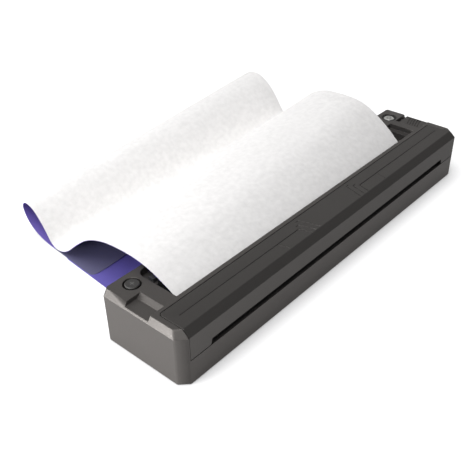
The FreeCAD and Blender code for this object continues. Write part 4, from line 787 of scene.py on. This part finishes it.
CAP_HEIGHT, CAP_CLEARANCE = 0.003, 0.00004  # the silver button's cap
LAMPS = (
    # name, place, aim, width, height, watts
    ("Rear left lamp", (-1.15, 0.70, 0.28), (-0.10, 0.02, 0.02), 1.1, 0.5, 5.5),
    ("Top lamp", (-0.70, 0.00, 1.45), (-0.05, 0.05, 0.02), 1.1, 1.1, 19.5),
    ("Left lamp", (-1.05, 0.28, 0.125), (-0.10, 0.02, 0.02), 0.5, 0.15, 11.5),
)
CAMERA_PLACE, CAMERA_TURN = (-0.29435, -0.20430, 0.25574), (55.004, 0.955, -48.873)
FOCAL_LENGTH, SENSOR_WIDTH = 54.56, 36.0
CONTACT_REACH, FLOOR_GLOW = 0.014, (0.66, 0.66, 0.66)  # how far a near piece dims the floor
AIR_COLOUR, CEILING_COLOUR = (0.22, 0.22, 0.225), (0.03, 0.03, 0.03)
BLACK, WHITE = (0.0, 0.0, 0.0), (1.0, 1.0, 1.0)
# The reflected white at the horizon and how fast it fades upward, then the white at the sides,
# how fast it fades to the front, and the least that is left of it there
HORIZON_WHITE, FADE_UP = 2.4, 3.4
SIDE_WHITE, FADE_FRONT, FRONT_WHITE = 0.75, 1.5, 0.1


class COPIER_OT_housing(Operator):
    """Housing with its bottom plate, screws, feet and cells"""
    bl_idname = "copier.housing"
    bl_label = "Housing"

    def execute(self, context):
        c = colours()
        rounded(
            "main_housing", sizes().edge_radius, graphite("Graphite housing", c.housing),
            sizes().corner_radius, corner_flat,
        )
        dress(
            moulded("Dark moulding", c.dark), "bottom_plate", "battery_holder", "platen_frame"
        )
        dress(moulded("Guide moulding", scaled(c.dark, 0.8), 0.42), "paper_guide")
        dress(drawn_metal("Steel", (0.52, 0.52, 0.51), 0.24), "bottom_screws", "board_screws")
        dress(ground_rubber("Foot rubber", (0.028, 0.028, 0.028)), "rubber_feet")
        dress(sleeve("Cell sleeve"), "battery_cells")
        return {"FINISHED"}


class COPIER_OT_cover(Operator):
    """Hinged front cover with its pins"""
    bl_idname = "copier.cover"
    bl_label = "Front cover"

    def execute(self, context):
        # The cover's graphite is darker than the housing's: painted shade for its darker top
        cover = graphite("Graphite cover", colours().cover, metal=0.6)
        rounded("front_cover", sizes().edge_radius, cover)
        dress(drawn_metal("Pin steel", (0.55, 0.55, 0.55), 0.22), "hinge_pins")
        return {"FINISHED"}


class COPIER_OT_mechanism(Operator):
    """Roller, gears, motor and thermal head"""
    bl_idname = "copier.mechanism"
    bl_label = "Mechanism"

    def execute(self, context):
        dress(ground_rubber("Roller rubber", (0.045, 0.045, 0.048)), "platen_roller")
        dress(
            drawn_metal("Ground steel", (0.56, 0.56, 0.56), 0.2), "platen_shaft", "idler_pin",
            "motor_shaft", "head_pivot_rod",
        )
        # The head's leaves and the latch's folded strip, in spring steel
        steel = drawn_metal("Spring steel", (0.56, 0.56, 0.56), 0.2)
        sprung("head_springs", steel)
        sprung("latch_spring", steel)
        dress(
            moulded("Gear plastic", (0.72, 0.71, 0.66), 0.38), "platen_gear", "idler_gear",
            "shaft_bushes",
        )
        dress(drawn_metal("Pinion brass", (0.62, 0.46, 0.2), 0.25), "motor_pinion")
        dress(zinc_plate("Zinc plate"), "gear_plate", "feed_motor", "head_bracket")
        dress(heater_ceramic("Heater ceramic"), "head_ceramic")
        dress(drawn_metal("Drawn aluminium", (0.7, 0.7, 0.71), 0.3), "head_heatsink")
        return {"FINISHED"}


class COPIER_OT_boards(Operator):
    """Circuit boards, chips, sensor and charging socket"""
    bl_idname = "copier.boards"
    bl_label = "Boards and socket"

    def execute(self, context):
        board = circuit_board("Solder resist")
        dress(board, "main_board", "charge_board", "feed_switch_board", "power_switch_board")
        dress(moulded("Chip moulding", (0.014, 0.014, 0.014), 0.4), "board_chips")
        dress(moulded("Sensor moulding", (0.07, 0.07, 0.074), 0.3), "paper_sensor")
        dress(drawn_metal("Socket steel", (0.45, 0.45, 0.46), 0.28), "charging_socket")
        return {"FINISHED"}


class COPIER_OT_controls(Operator):
    """Both round buttons, the dark ring and the ribbed release"""
    bl_idname = "copier.controls"
    bl_label = "Controls"

    def execute(self, context):
        small = sizes().small_edge_radius
        rounded("feed_button", small, dark_button("Dark button"))
        cap = rounded("power_button", small, silver_button("Silver button", colours().silver))
        # Pressed down, the cap's underside stays just clear of the well's floor
        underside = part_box("power_button")[1].z - CAP_HEIGHT
        for corner in cap.data.vertices:
            if abs(corner.co.z - underside) < CAP_CLEARANCE / 2:
                corner.co.z += CAP_CLEARANCE
        dress(moulded("Ring moulding", (0.009, 0.009, 0.009), 0.55), "power_bezel")
        latch = graphite("Graphite latch", scaled(colours().housing, 0.9))
        rounded("release_latch", sizes().rib_radius, latch)
        return {"FINISHED"}


class COPIER_OT_sheet(Operator):
    """Loaded stencil sheet, arched over the back and curled under"""
    bl_idname = "copier.sheet"
    bl_label = "Stencil sheet"

    def execute(self, context):
        s, c = sizes(), colours()
        left = edge_places(LEFT_EDGE, LEFT_CREST, LEFT_TURNS, LEFT_START)
        right = edge_places(RIGHT_EDGE, RIGHT_CREST, RIGHT_TURNS, LEFT_START + s.sheet_width)
        sheet = spanned_sheet(
            "loaded_sheet", "sheet_set", "stencil_paper", left, right,
            stencil_paper("Stencil paper", c.paper),
            # The coat's tail gets the painted slate shade
            violet_coat("Violet coat", c.violet, c.tail_shade), s.ripple,
        )
        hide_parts("stencil_sheet")
        return {"FINISHED"}


class COPIER_OT_ply(Operator):
    """Second violet ply, flat on the floor under the sheet's tail"""
    bl_idname = "copier.ply"
    bl_label = "Violet ply"

    def execute(self, context):
        s, c = sizes(), colours()
        low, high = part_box("carbon_sheet")
        level = (low.z + high.z) / 2 - s.sheet_thickness / 2
        lean, depth = high.x - low.x - s.sheet_width, high.y - low.y
        shares = [n / (PLY_ROWS - 1) for n in range(PLY_ROWS)]
        edges = [
            [Vector((start + lean * share, low.y + depth * share, level)) for share in shares]
            for start in (low.x, low.x + s.sheet_width)
        ]
        coat = violet_coat("Ply coat", c.ply)
        ply = spanned_sheet("violet_ply", "sheet_set", "carbon_paper", *edges, coat, coat, 0.0)
        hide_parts("carbon_sheet")
        return {"FINISHED"}


class COPIER_OT_studio(Operator):
    """White floor, soft lamps and the camera"""
    bl_idname = "copier.studio"
    bl_label = "Studio"

    def execute(self, context):
        scene = context.scene
        scene.view_settings.view_transform = "Standard"
        half = sizes().floor_size / 2
        mesh = bpy.data.meshes.new("floor")
        corners = [(-half, -half, 0), (half, -half, 0), (half, half, 0), (-half, half, 0)]
        mesh.from_pydata(corners, [], [(0, 1, 2, 3)])
        mesh.materials.append(white_floor("White floor", colours().floor))
        floor = placed("floor", mesh)

        for name, place, aim, width, height, watts in LAMPS:
            lamp = bpy.data.lights.new(name, "AREA")
            lamp.shape = "RECTANGLE"
            lamp.size, lamp.size_y, lamp.energy = width, height, watts
            thing = placed(name, lamp)
            thing.location = place
            way = Vector(aim) - Vector(place)
            thing.rotation_euler = way.to_track_quat("-Z", "Y").to_euler()

        lens = bpy.data.cameras.new("Camera")
        lens.lens, lens.sensor_width = FOCAL_LENGTH, SENSOR_WIDTH
        camera = placed("Camera", lens)
        camera.location = CAMERA_PLACE
        camera.rotation_euler = [math.radians(turn) for turn in CAMERA_TURN]
        scene.camera = camera
        scene.world = studio_air("Studio air")
        return {"FINISHED"}


def seen_by(t, *kinds):
    """1 for rays of those kinds, and else 0."""
    share, *others = (t.add("ShaderNodeLightPath", output=f"Is {kind} Ray") for kind in kinds)
    for other in others:
        share = share.larger(other)
    return share


def studio_air(name):
    """Dim soft light all round, white where the camera looks past the machine."""
    world = bpy.data.worlds.new(name)
    world.use_nodes = True
    t = Tree(world.node_tree)
    t.tree.nodes.clear()
    way = t.add("ShaderNodeTexCoord", output="Generated")
    depth, height = (t.add("ShaderNodeSeparateXYZ", {}, {0: way}, output=n) for n in (1, 2))
    # Reflections show the white studio behind the machine, its dark ceiling and dim front
    pale = (HORIZON_WHITE - height * FADE_UP).larger(0.0).smaller(1.0)
    pale = pale * (SIDE_WHITE + depth * FADE_FRONT).larger(FRONT_WHITE).smaller(1.0)
    glossy = t.mixed(pale, CEILING_COLOUR, WHITE)
    colour = t.mixed(seen_by(t, "Glossy"), AIR_COLOUR, glossy)
    colour = t.mixed(seen_by(t, "Camera", "Transmission"), colour, WHITE)
    air = t.add("ShaderNodeBackground", {}, {"Color": colour, "Strength": 1.0})
    t.add("ShaderNodeOutputWorld", {}, {"Surface": air})
    return world


def white_floor(name, colour):
    """A white floor that keeps soft shadows, darkest where the machine is close over it."""
    f = Finish(name)
    plain = f.add("ShaderNodeBsdfDiffuse", {}, {"Color": (*colour, 1.0)})
    open_share = f.add(
        "ShaderNodeAmbientOcclusion", {"samples": 8}, {"Distance": CONTACT_REACH}, output="AO"
    )
    glow = f.add(
        "ShaderNodeEmission", {},
        {"Color": f.mixed(open_share, BLACK, FLOOR_GLOW), "Strength": 1.0},
    )
    bright = f.add("ShaderNodeAddShader", {}, {0: plain, 1: glow})
    seen = seen_by(f, "Camera", "Glossy", "Transmission")
    shader = f.add("ShaderNodeMixShader", {}, {0: seen, 1: plain, 2: bright})
    f.add("ShaderNodeOutputMaterial", {}, {"Surface": shader})
    return f.material


OPERATORS = (
    COPIER_OT_studio, COPIER_OT_housing, COPIER_OT_cover, COPIER_OT_mechanism, COPIER_OT_boards,
    COPIER_OT_controls, COPIER_OT_sheet, COPIER_OT_ply,
)


class COPIER_PT_panel(Panel):
    """Lists the copier's pieces with its sizes and colours"""
    bl_idname = "COPIER_PT_panel"
    bl_label = "Thermal stencil copier"
    bl_space_type = "VIEW_3D"
    bl_region_type = "UI"
    bl_category = "Copier"

    def draw(self, context):
        for kind in OPERATORS:
            self.layout.operator(kind.bl_idname)
        for group in (context.scene.copier_sizes, context.scene.copier_colours):
            box = self.layout.box()
            for key in group.bl_rna.properties.keys():
                if key not in ("rna_type", "name"):
                    box.prop(group, key)


CLASSES = (CopierSizes, CopierColours, *OPERATORS, COPIER_PT_panel)


def register():
    for kind in CLASSES:
        bpy.utils.register_class(kind)
    bpy.types.Scene.copier_sizes = PointerProperty(type=CopierSizes)
    bpy.types.Scene.copier_colours = PointerProperty(type=CopierColours)


def unregister():
    del bpy.types.Scene.copier_colours
    del bpy.types.Scene.copier_sizes
    for kind in reversed(CLASSES):
        bpy.utils.unregister_class(kind)


def main():
    """Builds the studio and every piece."""
    register()
    bpy.ops.copier.studio()
    bpy.ops.copier.housing()
    bpy.ops.copier.cover()
    bpy.ops.copier.mechanism()
    bpy.ops.copier.boards()
    bpy.ops.copier.controls()
    bpy.ops.copier.sheet()
    bpy.ops.copier.ply()


if __name__ == "__main__":
    main()
